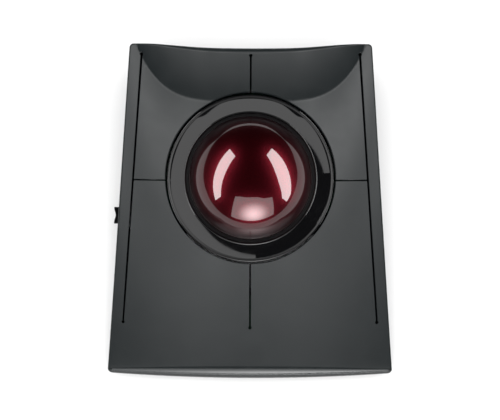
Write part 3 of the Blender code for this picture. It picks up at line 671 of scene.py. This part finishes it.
def deck_frame():
    """The cover: the deck round the buttons and the skirt under it, hollow inside."""
    outer = Rim(case_outline(), case_rounding)
    hole = Rim(opening_outline(), opening_rounding, hole=True)

    def walls(bm, lowest):
        out = bm.verts.layers.float_vector["out"]

        def copy(row, level, inset=0.0):
            made = []
            for vert in row:
                shift = Vector(vert[out]) * -inset
                fresh = bm.verts.new((vert.co.x + shift.x, vert.co.y + shift.y, level))
                fresh[out] = vert[out]
                made.append(fresh)
            return made

        skirt = copy(lowest[0], SKIRT_LEVEL)
        bridge(bm, skirt, lowest[0], WALL)
        inner_low = copy(lowest[0], SKIRT_LEVEL, WALL_INSET)
        bridge(bm, inner_low, skirt, FLAT)
        inside = copy(lowest[0], -DECK_THICKNESS, WALL_INSET)
        bridge(bm, inside, inner_low, FLAT)
        under = copy(lowest[1], -DECK_THICKNESS)
        bridge(bm, under, lowest[1], FLAT, True)
        fill(bm, [inside, under], FLAT, -1)

    bm = panel_bm(((outer, False), (hole, True)), walls)
    columns = steps(-FRONT_HALF_WIDTH, FRONT_HALF_WIDTH, COLUMN_STEP)
    rows = steps(-LENGTH / 2, HINGE_FRONT_Y, FRONT_ROW_STEP)
    rows += steps(HINGE_FRONT_Y, SCOOP_START, ROW_STEP)
    rows += steps(SCOOP_START, LENGTH / 2, FRAME_SCOOP_STEP)
    slice_bm(bm, columns, rows)
    knob_slot = block_bm(KNOB_PLACE - KNOB_SLOT_HALF, KNOB_PLACE + KNOB_SLOT_HALF)
    mesh = cut(bend_to_deck(bm, "deck_frame"), [knob_slot])
    shade_as_stored(mesh)
    return add_piece("deck_frame", mesh, deck_plastic(), "case", "deck_plastic", "top_cover")


def button(side_name, side, front):
    rim = Rim(button_outline(side, front), button_rounding)

    def walls(bm, lowest):
        under = []
        out = bm.verts.layers.float_vector["out"]
        for vert in lowest[0]:
            fresh = bm.verts.new((vert.co.x, vert.co.y, -DECK_THICKNESS))
            fresh[out] = vert[out]
            under.append(fresh)
        bridge(bm, under, lowest[0], FLAT)
        fill(bm, [under], FLAT, -1)

    bm = panel_bm(((rim, False),), walls)
    if front:
        columns = steps(0.0, SLOT_FRONT.x, COLUMN_STEP)
        rows = steps(HINGE_FRONT_Y, SEAM_Y, ROW_STEP)
    else:
        crease = SCOOP_START - SCOOP_MARGIN
        columns = steps(0.0, SLOT_FRONT.x, REAR_COLUMN_STEP)
        rows = steps(SEAM_Y, crease, REAR_ROW_STEP)
        rows += steps(crease, HINGE_REAR_Y, BUTTON_SCOOP_STEP)
    slice_bm(bm, [side * x for x in columns], rows)
    name = "button_%s_%s" % ("front" if front else "rear", side_name)
    mesh = bend_to_deck(bm, name)
    shade_as_stored(mesh)
    return add_piece("panel_" + name, mesh, deck_plastic(), name, "deck_plastic", name)


FEET = ("foot_front_left", "foot_front_right", "foot_rear_left", "foot_rear_right")
SCREWS = ("case_screw_1", "case_screw_2", "case_screw_3", "case_screw_4")
# From under the lower case to above its floor, so that a tool goes through it.
THROUGH_FLOOR = (-0.001, 0.01)


def middle(node):
    low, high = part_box(node)
    return (low + high) / 2


def lying(outline, front, rear, **rounding):
    """A prism along Y, from front to rear, of an outline given as X and Z."""
    upright = prism_bm(outline, -rear, -front, **rounding)
    return placed(upright, (0, 0, 0), (math.pi / 2, 0, 0))


def tray_tools():
    """The solids of the lower case's holes and recesses."""
    tools = []
    for node in SCREWS:
        screw_hole = circle(SCREW_HOLE_RADIUS, 32, middle(node).xy)
        tools.append(prism_bm(screw_hole, *THROUGH_FLOOR))
    for node in FEET:
        plan = stadium(middle(node).xy, *FOOT_RECESS_SIZE)
        tools.append(prism_bm(plan, 0.0, FOOT_HEIGHT + FOOT_RECESS_DEPTH))
    button_hole = circle(BUTTON_HOLE_RADIUS, 40, middle("pairing_button").xy)
    tools.append(prism_bm(button_hole, *THROUGH_FLOOR))
    grow = Vector((GAP, GAP, 0.0))
    low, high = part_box("receiver")
    bay_hole = rounded_rectangle(low - grow, high + grow, RECEIVER_CORNER)
    tools.append(prism_bm(bay_hole, *THROUGH_FLOOR))
    label = rounded_rectangle(LABEL_LOW, LABEL_HIGH, LABEL_CORNER)
    tools.append(prism_bm(label, 0.0, FOOT_HEIGHT + LABEL_DEPTH))
    low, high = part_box("usb_socket")
    grow = 2 * SOCKET_CLEARANCE
    port = stadium((0.0, (low.z + high.z) / 2), high.x * 2 + grow, high.z - low.z + grow)
    tools.append(lying(port, *SOCKET_HOLE))
    return tools


def tray():
    """The lower case, rounded under its edge, with openings and recesses for feet and label."""
    outline = Rim(case_outline(GAP), lambda point, outward: (1.0, 1.0))
    bm = bmesh.new()

    def ring(inset, taper, level):
        made = []
        for point, out in zip(outline.points, outline.outward):
            at = point * taper - out * inset
            made.append(bm.verts.new((at.x, at.y, level(point.y) if callable(level) else level)))
        return made

    rows = []
    for step in range(ROUND_STEPS + 1):
        angle = math.pi / 2 * step / ROUND_STEPS
        inset = TRAY_BEVEL * (1 - math.sin(angle))
        rows.append(ring(inset, TRAY_TAPER, FOOT_HEIGHT + TRAY_BEVEL * (1 - math.cos(angle))))
    rows.append(ring(0.0, SKIRT_TAPER, parting_height))
    rows.append(ring(TRAY_WALL, SKIRT_TAPER, parting_height))
    rows.append(ring(TRAY_WALL, TRAY_TAPER, PLATE_TOP))
    for lower, upper in zip(rows, rows[1:]):
        bridge(bm, lower, upper, FLAT)
    bm.faces.new(rows[0])
    bm.faces.new(rows[-1])
    bmesh.ops.recalc_face_normals(bm, faces=bm.faces)
    mesh = bpy.data.meshes.new("tray")
    bm.to_mesh(mesh)
    bm.free()
    mesh = cut_crisp(mesh, tray_tools())
    add_piece("tray", mesh, case_plastic(), "case", "case_plastic", "lower_case")


def feet():
    for node in FEET:
        plan = stadium(middle(node).xy, *FOOT_SIZE)
        pad = prism_bm(plan, 0.0, FOOT_HEIGHT + FOOT_SINK, FOOT_ROUNDING)
        mesh = smooth_mesh(pad, node)
        add_piece("pad_" + node, mesh, rubber(), "case", "foot_rubber", node)


def screws():
    """Round-headed screws with a crossed slot, each turned its own way."""
    for number, node in enumerate(SCREWS, 1):
        low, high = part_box(node)
        face = low.z
        rounding = SCREW_HEAD_ROUNDING
        profile = [(0.0, face)]
        profile += arc((SCREW_HEAD_RADIUS - rounding, face + rounding), rounding, -90, 0)
        profile += [(SCREW_HEAD_RADIUS, face + SCREW_HEAD_HEIGHT - SCREW_HEAD_SLANT)]
        profile += [(SCREW_SHANK_RADIUS, face + SCREW_HEAD_HEIGHT)]
        profile += [(SCREW_SHANK_RADIUS, high.z), (0.0, high.z)]
        blades = []
        for turn in (0.0, math.pi / 2):
            blade = block_bm(SCREW_BLADE_LOW, SCREW_BLADE_HIGH)
            blades.append(placed(blade, (0, 0, face), (0, 0, turn + number)))
        mesh = cut_crisp(smooth_mesh(turned_bm(profile, 40), node), blades)
        mesh.transform(Matrix.Translation((middle(node).x, middle(node).y, 0)))
        add_piece("head_" + node, mesh, steel(), "case", "steel", node)


# ---- Ball and ring ------------------------------------------------------------------------------
def collar():
    """The gloss ring: an outer lip, a fine groove and a cone up to a rounded inner rim."""
    deck = ring_deck_level()
    foot = deck - RING_DEPTH
    inside = RING_OUTER - RING_SKIRT_WIDTH
    profile = [(RING_OUTER, foot)]
    profile += arc((RING_OUTER - RING_LIP, deck + RING_LIP_RISE - RING_LIP), RING_LIP, 0, 90)
    profile += [(RING_GROOVE + RING_GROOVE_HALF, deck + RING_LIP_RISE)]
    cone_foot = RING_GROOVE - RING_GROOVE_HALF
    profile += [(RING_GROOVE + RING_GROOVE_HALF, deck), (cone_foot, deck)]
    low_centre = Vector((cone_foot - RING_FOOT_ROUNDING, deck + RING_FOOT_RISE))
    high_centre = Vector((RING_INNER + RING_TOP_INSET, RING_TOP - RING_TOP_INSET))
    run = high_centre - low_centre
    slope = math.degrees(math.atan2(run.y, -run.x))
    low_arc = arc(low_centre, RING_FOOT_ROUNDING, 0, 90 - slope, 4)
    high_arc = arc(high_centre, RING_TOP_ROUNDING, 90 - slope, 180, 8)
    start, end = Vector(low_arc[-1]), Vector(high_arc[0])
    profile += low_arc + [tuple(start.lerp(end, t)) for t in RING_CONE_ROWS] + high_arc
    profile += [(RING_INNER, RING_LIP_BOTTOM), (RING_INNER + RING_RIM_WIDTH, RING_LIP_BOTTOM)]
    profile += [(inside, deck - RING_SKIRT_DROP), (inside, foot)]
    bm = placed(turned_bm(profile, 192), BALL_CENTRE, (RING_TILT, 0, 0))
    mesh = smooth_mesh(bm, "collar")
    add_piece("collar", mesh, gloss_black(), "case", "gloss_black", "trim_ring")


def sphere():
    bm = bmesh.new()
    bmesh.ops.create_uvsphere(bm, u_segments=160, v_segments=80, radius=BALL_RADIUS)
    placed(bm, BALL_CENTRE)
    add_piece("sphere", smooth_mesh(bm, "sphere", 60), ball_red(), "ball", "ball_red", "ball")


# ---- Controls and sockets -----------------------------------------------------------------------
KNOB_REACH = 0.0021
KNOB_DISH = 0.0007
KNOB_DISH_SHARE = 0.85
KNOB_DISH_STEPS = 12
KNOB_ROUNDING = 0.00025
KEY_ROUNDING = 0.0003
KEY_DISH_SHARE = 0.6
KEY_DISH_RIM = 0.0002
RECEIVER_ROUNDING = 0.0003
GRIP_SIZE = (0.0090, 0.0030)
GRIP_DEPTH = 0.0007


def knob():
    """The slide switch's knob, whose outer face is dished for a fingertip."""
    low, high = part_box("mode_switch_knob")
    half = (high.y - low.y) / 2
    centre = (high.y + low.y) / 2
    plan = []
    for i in range(2 * KNOB_DISH_STEPS + 1):
        t = 1 - i / KNOB_DISH_STEPS
        out = KNOB_REACH + KNOB_DISH * rise(abs(t) / KNOB_DISH_SHARE)
        plan.append(Vector((KNOB_PLACE.x - out, centre + t * half)))
    plan += [Vector((high.x, centre - half)), Vector((high.x, centre + half))]
    mesh = smooth_mesh(prism_bm(plan, low.z, high.z, KNOB_ROUNDING), "knob", 50)
    add_piece("knob", mesh, gloss_black(), "mode_switch_knob", "gloss_black", "mode_switch_knob")


def pairing():
    low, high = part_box("pairing_button")
    radius = (high.x - low.x) / 2
    profile = [(0.0, low.z + KEY_ROUNDING), (radius * KEY_DISH_SHARE, low.z + KEY_DISH_RIM)]
    profile += arc((radius - KEY_ROUNDING, low.z + KEY_ROUNDING), KEY_ROUNDING, -90, 0)
    profile += [(radius, high.z), (0.0, high.z)]
    spot = middle("pairing_button")
    mesh = smooth_mesh(placed(turned_bm(profile, 48), (spot.x, spot.y, 0)), "pairing")
    look = case_plastic()
    add_piece("pairing", mesh, look, "pairing_button", "plunger_plastic", "pairing_button")


def dongle():
    low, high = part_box("receiver")
    plan = rounded_rectangle(low, high, RECEIVER_CORNER)
    body = smooth_mesh(prism_bm(plan, low.z, high.z, RECEIVER_ROUNDING), "dongle")
    grip = stadium(middle("receiver").xy, *GRIP_SIZE)
    mesh = cut_crisp(body, [prism_bm(grip, low.z - OVERSHOOT, low.z + GRIP_DEPTH)])
    add_piece("dongle", mesh, gloss_black(), "receiver", "gloss_black", "receiver")


def charging_socket():
    """The metal shell of the charging socket, open to the rear and closed at its front end."""
    low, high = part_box("usb_socket")
    centre = (0.0, (low.z + high.z) / 2)
    plan = stadium(centre, high.x * 2, high.z - low.z)
    shell = smooth_mesh(lying(plan, low.y, high.y, bevel=0.0001, segments=2), "shell")
    wall = 2 * SOCKET_WALL
    mouth = stadium(centre, high.x * 2 - wall, high.z - low.z - wall)
    mesh = cut_crisp(shell, [lying(mouth, low.y + SOCKET_BACK, high.y + OVERSHOOT)])
    # The shell's steel is darkened as painted shade, so that it shows dark through the slot between
    # the rear buttons.
    add_piece("socket_shell", mesh, port_steel_painted_shade(), "case", "steel", "usb_socket")


# ---- Materials ----------------------------------------------------------------------------------
def noise(made, size, detail=2.0):
    """A noise texture in the part's own space, whose features are about size metres."""
    nodes, links = made.node_tree.nodes, made.node_tree.links
    place = nodes.new("ShaderNodeTexCoord")
    texture = nodes.new("ShaderNodeTexNoise")
    texture.inputs["Scale"].default_value = 1.0 / size
    texture.inputs["Detail"].default_value = detail
    links.new(place.outputs["Object"], texture.inputs["Vector"])
    return texture.outputs["Fac"]


def grain(made, shader, size, depth):
    """A fine moulded texture."""
    nodes, links = made.node_tree.nodes, made.node_tree.links
    bump = nodes.new("ShaderNodeBump")
    bump.inputs["Distance"].default_value = depth
    bump.inputs["Strength"].default_value = 1.0
    links.new(noise(made, size), bump.inputs["Height"])
    links.new(bump.outputs["Normal"], shader.inputs["Normal"])


def spread(made, shader, socket, size, low, high, detail=3.0):
    """Lets a value or colour of the shader wander between low and high over the surface."""
    nodes, links = made.node_tree.nodes, made.node_tree.links
    ramp = nodes.new("ShaderNodeValToRGB")
    for stop, position, value in zip(ramp.color_ramp.elements, (0.3, 0.7), (low, high)):
        color = value if isinstance(value, tuple) else (value, value, value)
        stop.position = position
        stop.color = (*color, 1.0)
    links.new(noise(made, size, detail), ramp.inputs["Fac"])
    links.new(ramp.outputs["Color"], shader.inputs[socket])


def finish(name, color, roughness, metallic=0.0, relief=None, tint=None, wear=None, **sockets):
    """A material, made on its first use.

    relief holds grain()'s size and depth. tint and wear hold spread()'s size, low and high for the
    colour and for the roughness. The prefix keeps the name apart from the frame's own materials.
    """
    name = "look_" + name
    made = bpy.data.materials.get(name)
    if made is not None:
        return made
    made = bpy.data.materials.new(name)
    made.use_nodes = True
    shader = made.node_tree.nodes["Principled BSDF"]
    shader.inputs["Base Color"].default_value = (*color, 1.0)
    shader.inputs["Roughness"].default_value = roughness
    shader.inputs["Metallic"].default_value = metallic
    for socket, value in sockets.items():
        shader.inputs[socket.replace("_", " ")].default_value = value
    if relief:
        grain(made, shader, *relief)
    if tint:
        spread(made, shader, "Base Color", *tint)
    if wear:
        spread(made, shader, "Roughness", *wear)
    return made


def deck_plastic():
    color = (0.011, 0.0145, 0.0155)
    tint = (0.012, (0.0100, 0.0130, 0.0140), (0.0120, 0.0152, 0.0162))
    wear = (0.006, 0.19, 0.22)
    return finish("deck_plastic", color, 0.20, 0.0, (0.0004, 0.0000004), tint, wear, IOR=1.6)


def gloss_black():
    color = (0.004, 0.004, 0.0045)
    return finish("gloss_black", color, 0.04, relief=(0.004, 0.000001), wear=(0.003, 0.02, 0.05))


def case_plastic():
    color = (0.012, 0.012, 0.013)
    return finish("case_plastic", color, 0.5, relief=(0.0004, 0.000015), wear=(0.004, 0.42, 0.55))


def ball_red():
    """A metallic red under a clear coat."""
    tint = (0.0008, (0.062, 0.0016, 0.005), (0.084, 0.0024, 0.007))
    coat = {"Coat_Weight": 1.0, "Coat_Roughness": 0.015, "Coat_IOR": 1.7}
    return finish("ball_red", (0.075, 0.002, 0.006), 0.34, 0.93, tint=tint, **coat)


def ceramic():
    return finish("bearing_ceramic", (0.75, 0.73, 0.68), 0.2, wear=(0.0005, 0.15, 0.25))


def lens_plastic():
    return finish("lens_plastic", (0.45, 0.48, 0.52), 0.08, wear=(0.001, 0.05, 0.12))


def switch_plastic():
    return finish("switch_plastic", (0.015, 0.015, 0.016), 0.42, relief=(0.0003, 0.00001))


def plunger_plastic():
    return finish("plunger_plastic", (0.70, 0.70, 0.68), 0.4, wear=(0.001, 0.35, 0.45))


def board_green():
    tint = (0.0015, (0.006, 0.045, 0.02), (0.012, 0.075, 0.035), 6.0)
    return finish("board_green", (0.01, 0.06, 0.03), 0.4, tint=tint)


def battery_foil():
    return finish("battery_foil", (0.30, 0.31, 0.33), 0.35, 0.6, relief=(0.003, 0.0001))


def rubber():
    color = (0.018, 0.018, 0.018)
    return finish("foot_rubber", color, 0.8, relief=(0.0003, 0.00002), wear=(0.002, 0.72, 0.88))


def steel():
    color, relief, wear = (0.50, 0.50, 0.51), (0.0005, 0.000004), (0.002, 0.26, 0.40)
    return finish("steel", color, 0.32, 1.0, relief, wear=wear)


# Painted shade: this steel is far darker than the screws' steel, so that the charging socket stays
# dark through the slot between the rear buttons.
def port_steel_painted_shade():
    return finish("port_steel_painted_shade", (0.10, 0.10, 0.105), 0.5, 0.9)


def paint_inside():
    """Gives each CAD node that stays its own finish."""
    finishes = {
        case_plastic: ("ball_cup", "receiver_bay", "board_post"),
        ceramic: ("bearing",),
        lens_plastic: ("sensor_lens",),
        switch_plastic: ("sensor_chip", "switch_front", "switch_rear", "usb_tongue"),
        board_green: ("sensor_board", "switch_board", "main_board", "usb_board"),
        plunger_plastic: ("plunger",),
        battery_foil: ("battery",),
        steel: ("weight_plate", "mode_switch_body", "pairing_switch"),
    }
    for node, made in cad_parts.items():
        for look, starts in finishes.items():
            if node.startswith(starts):
                made.data.materials.clear()
                made.data.materials.append(look())


# ---- Camera, floor and light --------------------------------------------------------------------
VIEW_TARGET = Vector((0.0, 0.0015, 0.020))
VIEW_DISTANCE = 0.450
VIEW_ELEVATION = math.radians(83.75)
VIEW_ROLL = math.radians(0.18)
VIEW_LENS = 71.0
TOWARDS_CAMERA = Vector((0.0, -math.cos(VIEW_ELEVATION), math.sin(VIEW_ELEVATION)))
PICTURE_UP = Vector((0.0, math.sin(VIEW_ELEVATION), math.cos(VIEW_ELEVATION)))


def add_camera():
    data = bpy.data.cameras.new("camera")
    data.lens = VIEW_LENS
    data.clip_start = 0.01
    camera = bpy.data.objects.new("camera", data)
    bpy.context.scene.collection.objects.link(camera)
    camera.location = VIEW_TARGET + VIEW_DISTANCE * TOWARDS_CAMERA
    camera.rotation_euler = Euler((math.pi / 2 - VIEW_ELEVATION, 0.0, VIEW_ROLL))
    bpy.context.scene.camera = camera


def seen_from_ball(off_axis, azimuth, distance=1.0):
    """A point in a direction from the ball, in degrees off the camera's line and round from +X."""
    off, turn = math.radians(off_axis), math.radians(azimuth)
    across = math.cos(turn) * Vector((1, 0, 0)) + math.sin(turn) * PICTURE_UP
    return BALL_CENTRE + distance * (math.cos(off) * TOWARDS_CAMERA + math.sin(off) * across)


def emitter(name, radiance, peak=None):
    """A glowing surface. peak, as (place, reach, radiance), adds a soft bright spot."""
    made = bpy.data.materials.new(name)
    made.use_nodes = True
    nodes, links = made.node_tree.nodes, made.node_tree.links
    nodes.clear()
    glow = nodes.new("ShaderNodeEmission")
    glow.inputs["Strength"].default_value = radiance
    if peak:
        place, reach, brightest = peak
        where = nodes.new("ShaderNodeTexCoord")
        far = nodes.new("ShaderNodeVectorMath")
        far.operation = "DISTANCE"
        far.inputs[1].default_value = place
        fall = nodes.new("ShaderNodeMapRange")
        fall.interpolation_type = "SMOOTHSTEP"
        fall.inputs["From Max"].default_value = reach
        fall.inputs["To Min"].default_value = brightest
        fall.inputs["To Max"].default_value = radiance
        links.new(where.outputs["Object"], far.inputs[0])
        links.new(far.outputs["Value"], fall.inputs["Value"])
        links.new(fall.outputs["Result"], glow.inputs["Strength"])
    out = nodes.new("ShaderNodeOutputMaterial")
    links.new(glow.outputs["Emission"], out.inputs["Surface"])
    return made


def card(name, near_row, far_row, radiance, peak=None, only=()):
    """A panel of light between two rows of points. It shows in reflections alone.

    only names the pieces that it shows in, or is left empty for all of them.
    """
    mesh = bpy.data.meshes.new(name)
    count = len(near_row)
    faces = [(i, i + 1, count + i + 1, count + i) for i in range(count - 1)]
    mesh.from_pydata([tuple(p) for p in near_row + far_row], [], faces)
    mesh.materials.append(emitter(name, radiance, peak))
    made = bpy.data.objects.new(name, mesh)
    bpy.context.scene.collection.objects.link(made)
    made.visible_camera = False
    made.visible_diffuse = False
    made.visible_shadow = False
    if only:
        lit = bpy.data.collections.new(name)
        for piece in only:
            lit.objects.link(bpy.data.objects[piece])
        made.light_linking.receiver_collection = lit


def add_floor():
    """A white floor that lets a view from below pass through."""
    bm = bmesh.new()
    bmesh.ops.create_circle(bm, cap_ends=True, radius=FLOOR_RADIUS, segments=64)
    mesh = bpy.data.meshes.new("floor")
    bm.to_mesh(mesh)
    bm.free()
    paint = finish("floor_white", FLOOR_COLOR, 0.9)
    nodes, links = paint.node_tree.nodes, paint.node_tree.links
    shader = nodes["Principled BSDF"]
    side = nodes.new("ShaderNodeNewGeometry")
    clear = nodes.new("ShaderNodeBsdfTransparent")
    choose = nodes.new("ShaderNodeMixShader")
    links.new(side.outputs["Backfacing"], choose.inputs["Fac"])
    links.new(shader.outputs["BSDF"], choose.inputs[1])
    links.new(clear.outputs["BSDF"], choose.inputs[2])
    links.new(choose.outputs["Shader"], nodes["Material Output"].inputs["Surface"])
    mesh.materials.append(paint)
    floor = bpy.data.objects.new("floor", mesh)
    bpy.context.scene.collection.objects.link(floor)
    floor.location.z = cad_box[0].z
    floor.visible_glossy = False
    floor.visible_shadow = False


def add_light():
    """The soft light on everything: an even world and a lamp above, neither of them reflected."""
    world = bpy.data.worlds.new("studio")
    bpy.context.scene.world = world
    world.use_nodes = True
    background = world.node_tree.nodes["Background"]
    background.inputs["Color"].default_value = (1.0, 1.0, 1.0, 1.0)
    background.inputs["Strength"].default_value = WORLD_STRENGTH
    world.cycles_visibility.glossy = False
    overhead = bpy.data.lights.new("overhead", "AREA")
    overhead.energy = OVERHEAD_POWER
    overhead.size = OVERHEAD_SIZE
    lamp = bpy.data.objects.new("overhead", overhead)
    bpy.context.scene.collection.objects.link(lamp)
    lamp.location = OVERHEAD_PLACE
    lamp.rotation_euler = Euler((OVERHEAD_TILT, 0, 0))
    lamp.visible_glossy = False


def level_card(name, xs, ys, z, radiance, **extra):
    near, far = [[Vector((x, y, z)) for x in xs] for y in ys]
    card(name, near, far, radiance, **extra)


def add_cards():
    """The cards that make the highlights on the ball, the ring and the deck."""
    sides, ends = (-TABLE_SIDE, TABLE_SIDE), (TABLE_FRONT, TABLE_REAR)
    level_card("table", sides, ends, TABLE_Z, TABLE_RADIANCE)
    for side, places in STRIPS.items():
        near = [seen_from_ball(inner, turn) for turn, inner, outer in places]
        far = [seen_from_ball(outer, turn) for turn, inner, outer in places]
        card("strip_" + side, near, far, STRIP_RADIANCE, only=("sphere", "collar"))
    near = [seen_from_ball(inner, turn) for turn, inner, outer in FRONT_BOX]
    far = [seen_from_ball(outer, turn) for turn, inner, outer in FRONT_BOX]
    peak = (seen_from_ball(*FRONT_PEAK), FRONT_PEAK_REACH, FRONT_PEAK_RADIANCE)
    card("front_box", near, far, FRONT_RADIANCE, peak)
    for name, (left, right, radiance, brightest) in CEILING.items():
        peak_x = math.copysign(CEILING_PEAK_X, left + right)
        peak = (Vector((peak_x, CEILING_PEAK_Y, CEILING_Z)), CEILING_REACH, brightest)
        sides, ends = (left, right), (CEILING_FRONT, CEILING_REAR)
        level_card(name, sides, ends, CEILING_Z, radiance, peak=peak, only=DECK_PIECES)
    for name, (radiance, distance, places) in FENCES.items():
        low = [beside_ring(distance, turn, foot) for turn, foot, top in places]
        high = [beside_ring(distance, turn, top) for turn, foot, top in places]
        card(name, low, high, radiance, only=DECK_PIECES)


def beside_ring(distance, turn, height):
    """A point round the ring, at a height over the ring's own plane through the ball's centre."""
    turn = math.radians(turn)
    local = Vector((distance * math.cos(turn), distance * math.sin(turn), height))
    return BALL_CENTRE + Euler((RING_TILT, 0.0, 0.0)).to_matrix() @ local


def stations(start, foot, top, end, last_foot, last_top, count=12):
    """Evenly spread (turn, foot, top) triples, so that a card can follow a circle."""
    first, last = Vector((start, foot, top)), Vector((end, last_foot, last_top))
    return [tuple(first.lerp(last, i / count)) for i in range(count + 1)]


# Cards round the camera, each as a row of (direction round the ball, inner and outer angle off the
# camera's line), in degrees.
STRIPS = {
    "left": ((126, 47, 66), (163, 45, 66), (190, 53, 73), (213, 67, 82)),
    "right": ((54, 50, 68), (13, 46, 73), (-10, 53, 81), (-33, 73, 92)),
}
FRONT_BOX = (
    (232, 45, 45),
    (244, 40, 88),
    (258, 38, 91),
    (275, 37, 91),
    (290, 39, 90),
    (302, 46, 88),
    (318, 55, 55),
)
FRONT_PEAK = (70, 275)
FRONT_PEAK_REACH = 0.45
FRONT_PEAK_RADIANCE = 10.0
FRONT_RADIANCE = 1.8
STRIP_RADIANCE = 7.6
# The pieces that the ceiling and the fences show in.
DECK_PIECES = [
    "deck_frame",
    "panel_button_front_left",
    "panel_button_front_right",
    "panel_button_rear_left",
    "panel_button_rear_right",
    "collar",
]
# Dim panels high above, each with a soft spot: (left, right, radiance, the spot's radiance).
CEILING_Z = 2.5
CEILING_SIDE = 1.4
CEILING_FRONT = -0.97
CEILING_REAR = 0.9
CEILING_PEAK_X = 0.41
CEILING_PEAK_Y = -0.28
CEILING_REACH = 0.58
CEILING = {
    "ceiling_left": (-CEILING_SIDE, 0.0, 0.50, 3.0),
    "ceiling_right": (0.0, CEILING_SIDE, 0.54, 2.6),
}
# A grey card just over the floor.
TABLE_Z = 0.0001
TABLE_SIDE = 0.45
TABLE_FRONT = -0.42
TABLE_REAR = 0.21
TABLE_RADIANCE = 0.72
# Low cards that stand round the part, most for the ring: (radiance, distance, stations).
FENCES = {
    "fence_right": (1.7, 0.180, stations(5, 0.010, 0.0185, 45, 0.008, 0.022)),
    "fence_rear": (1.7, 0.180, stations(45, 0.008, 0.022, 150, 0.008, 0.025)),
    "fence_left": (1.7, 0.180, stations(150, 0.008, 0.025, 215, 0.010, 0.026)),
    "fence_front": (1.7, 0.180, stations(215, 0.010, 0.026, 274, 0.012, 0.0195)),
    "fence_dark": (0.0, 0.182, stations(190, 0.008, 0.029, 410, 0.008, 0.027, 24)),
}
FLOOR_COLOR = (0.90, 0.90, 0.90)
FLOOR_RADIUS = 4.0
WORLD_STRENGTH = 0.85
OVERHEAD_POWER = 17.0
OVERHEAD_SIZE = 1.6
OVERHEAD_PLACE = (0.0, -0.2, 1.4)
OVERHEAD_TILT = math.radians(-8)


# ---- Assembly -----------------------------------------------------------------------------------
bpy.context.scene.view_settings.view_transform = "Standard"
deck_frame()
for side_name, side in (("left", -1), ("right", 1)):
    button(side_name, side, True)
    button(side_name, side, False)
tray()
feet()
screws()
collar()
sphere()
knob()
pairing()
dongle()
charging_socket()
paint_inside()
add_floor()
add_light()
add_cards()
add_camera()
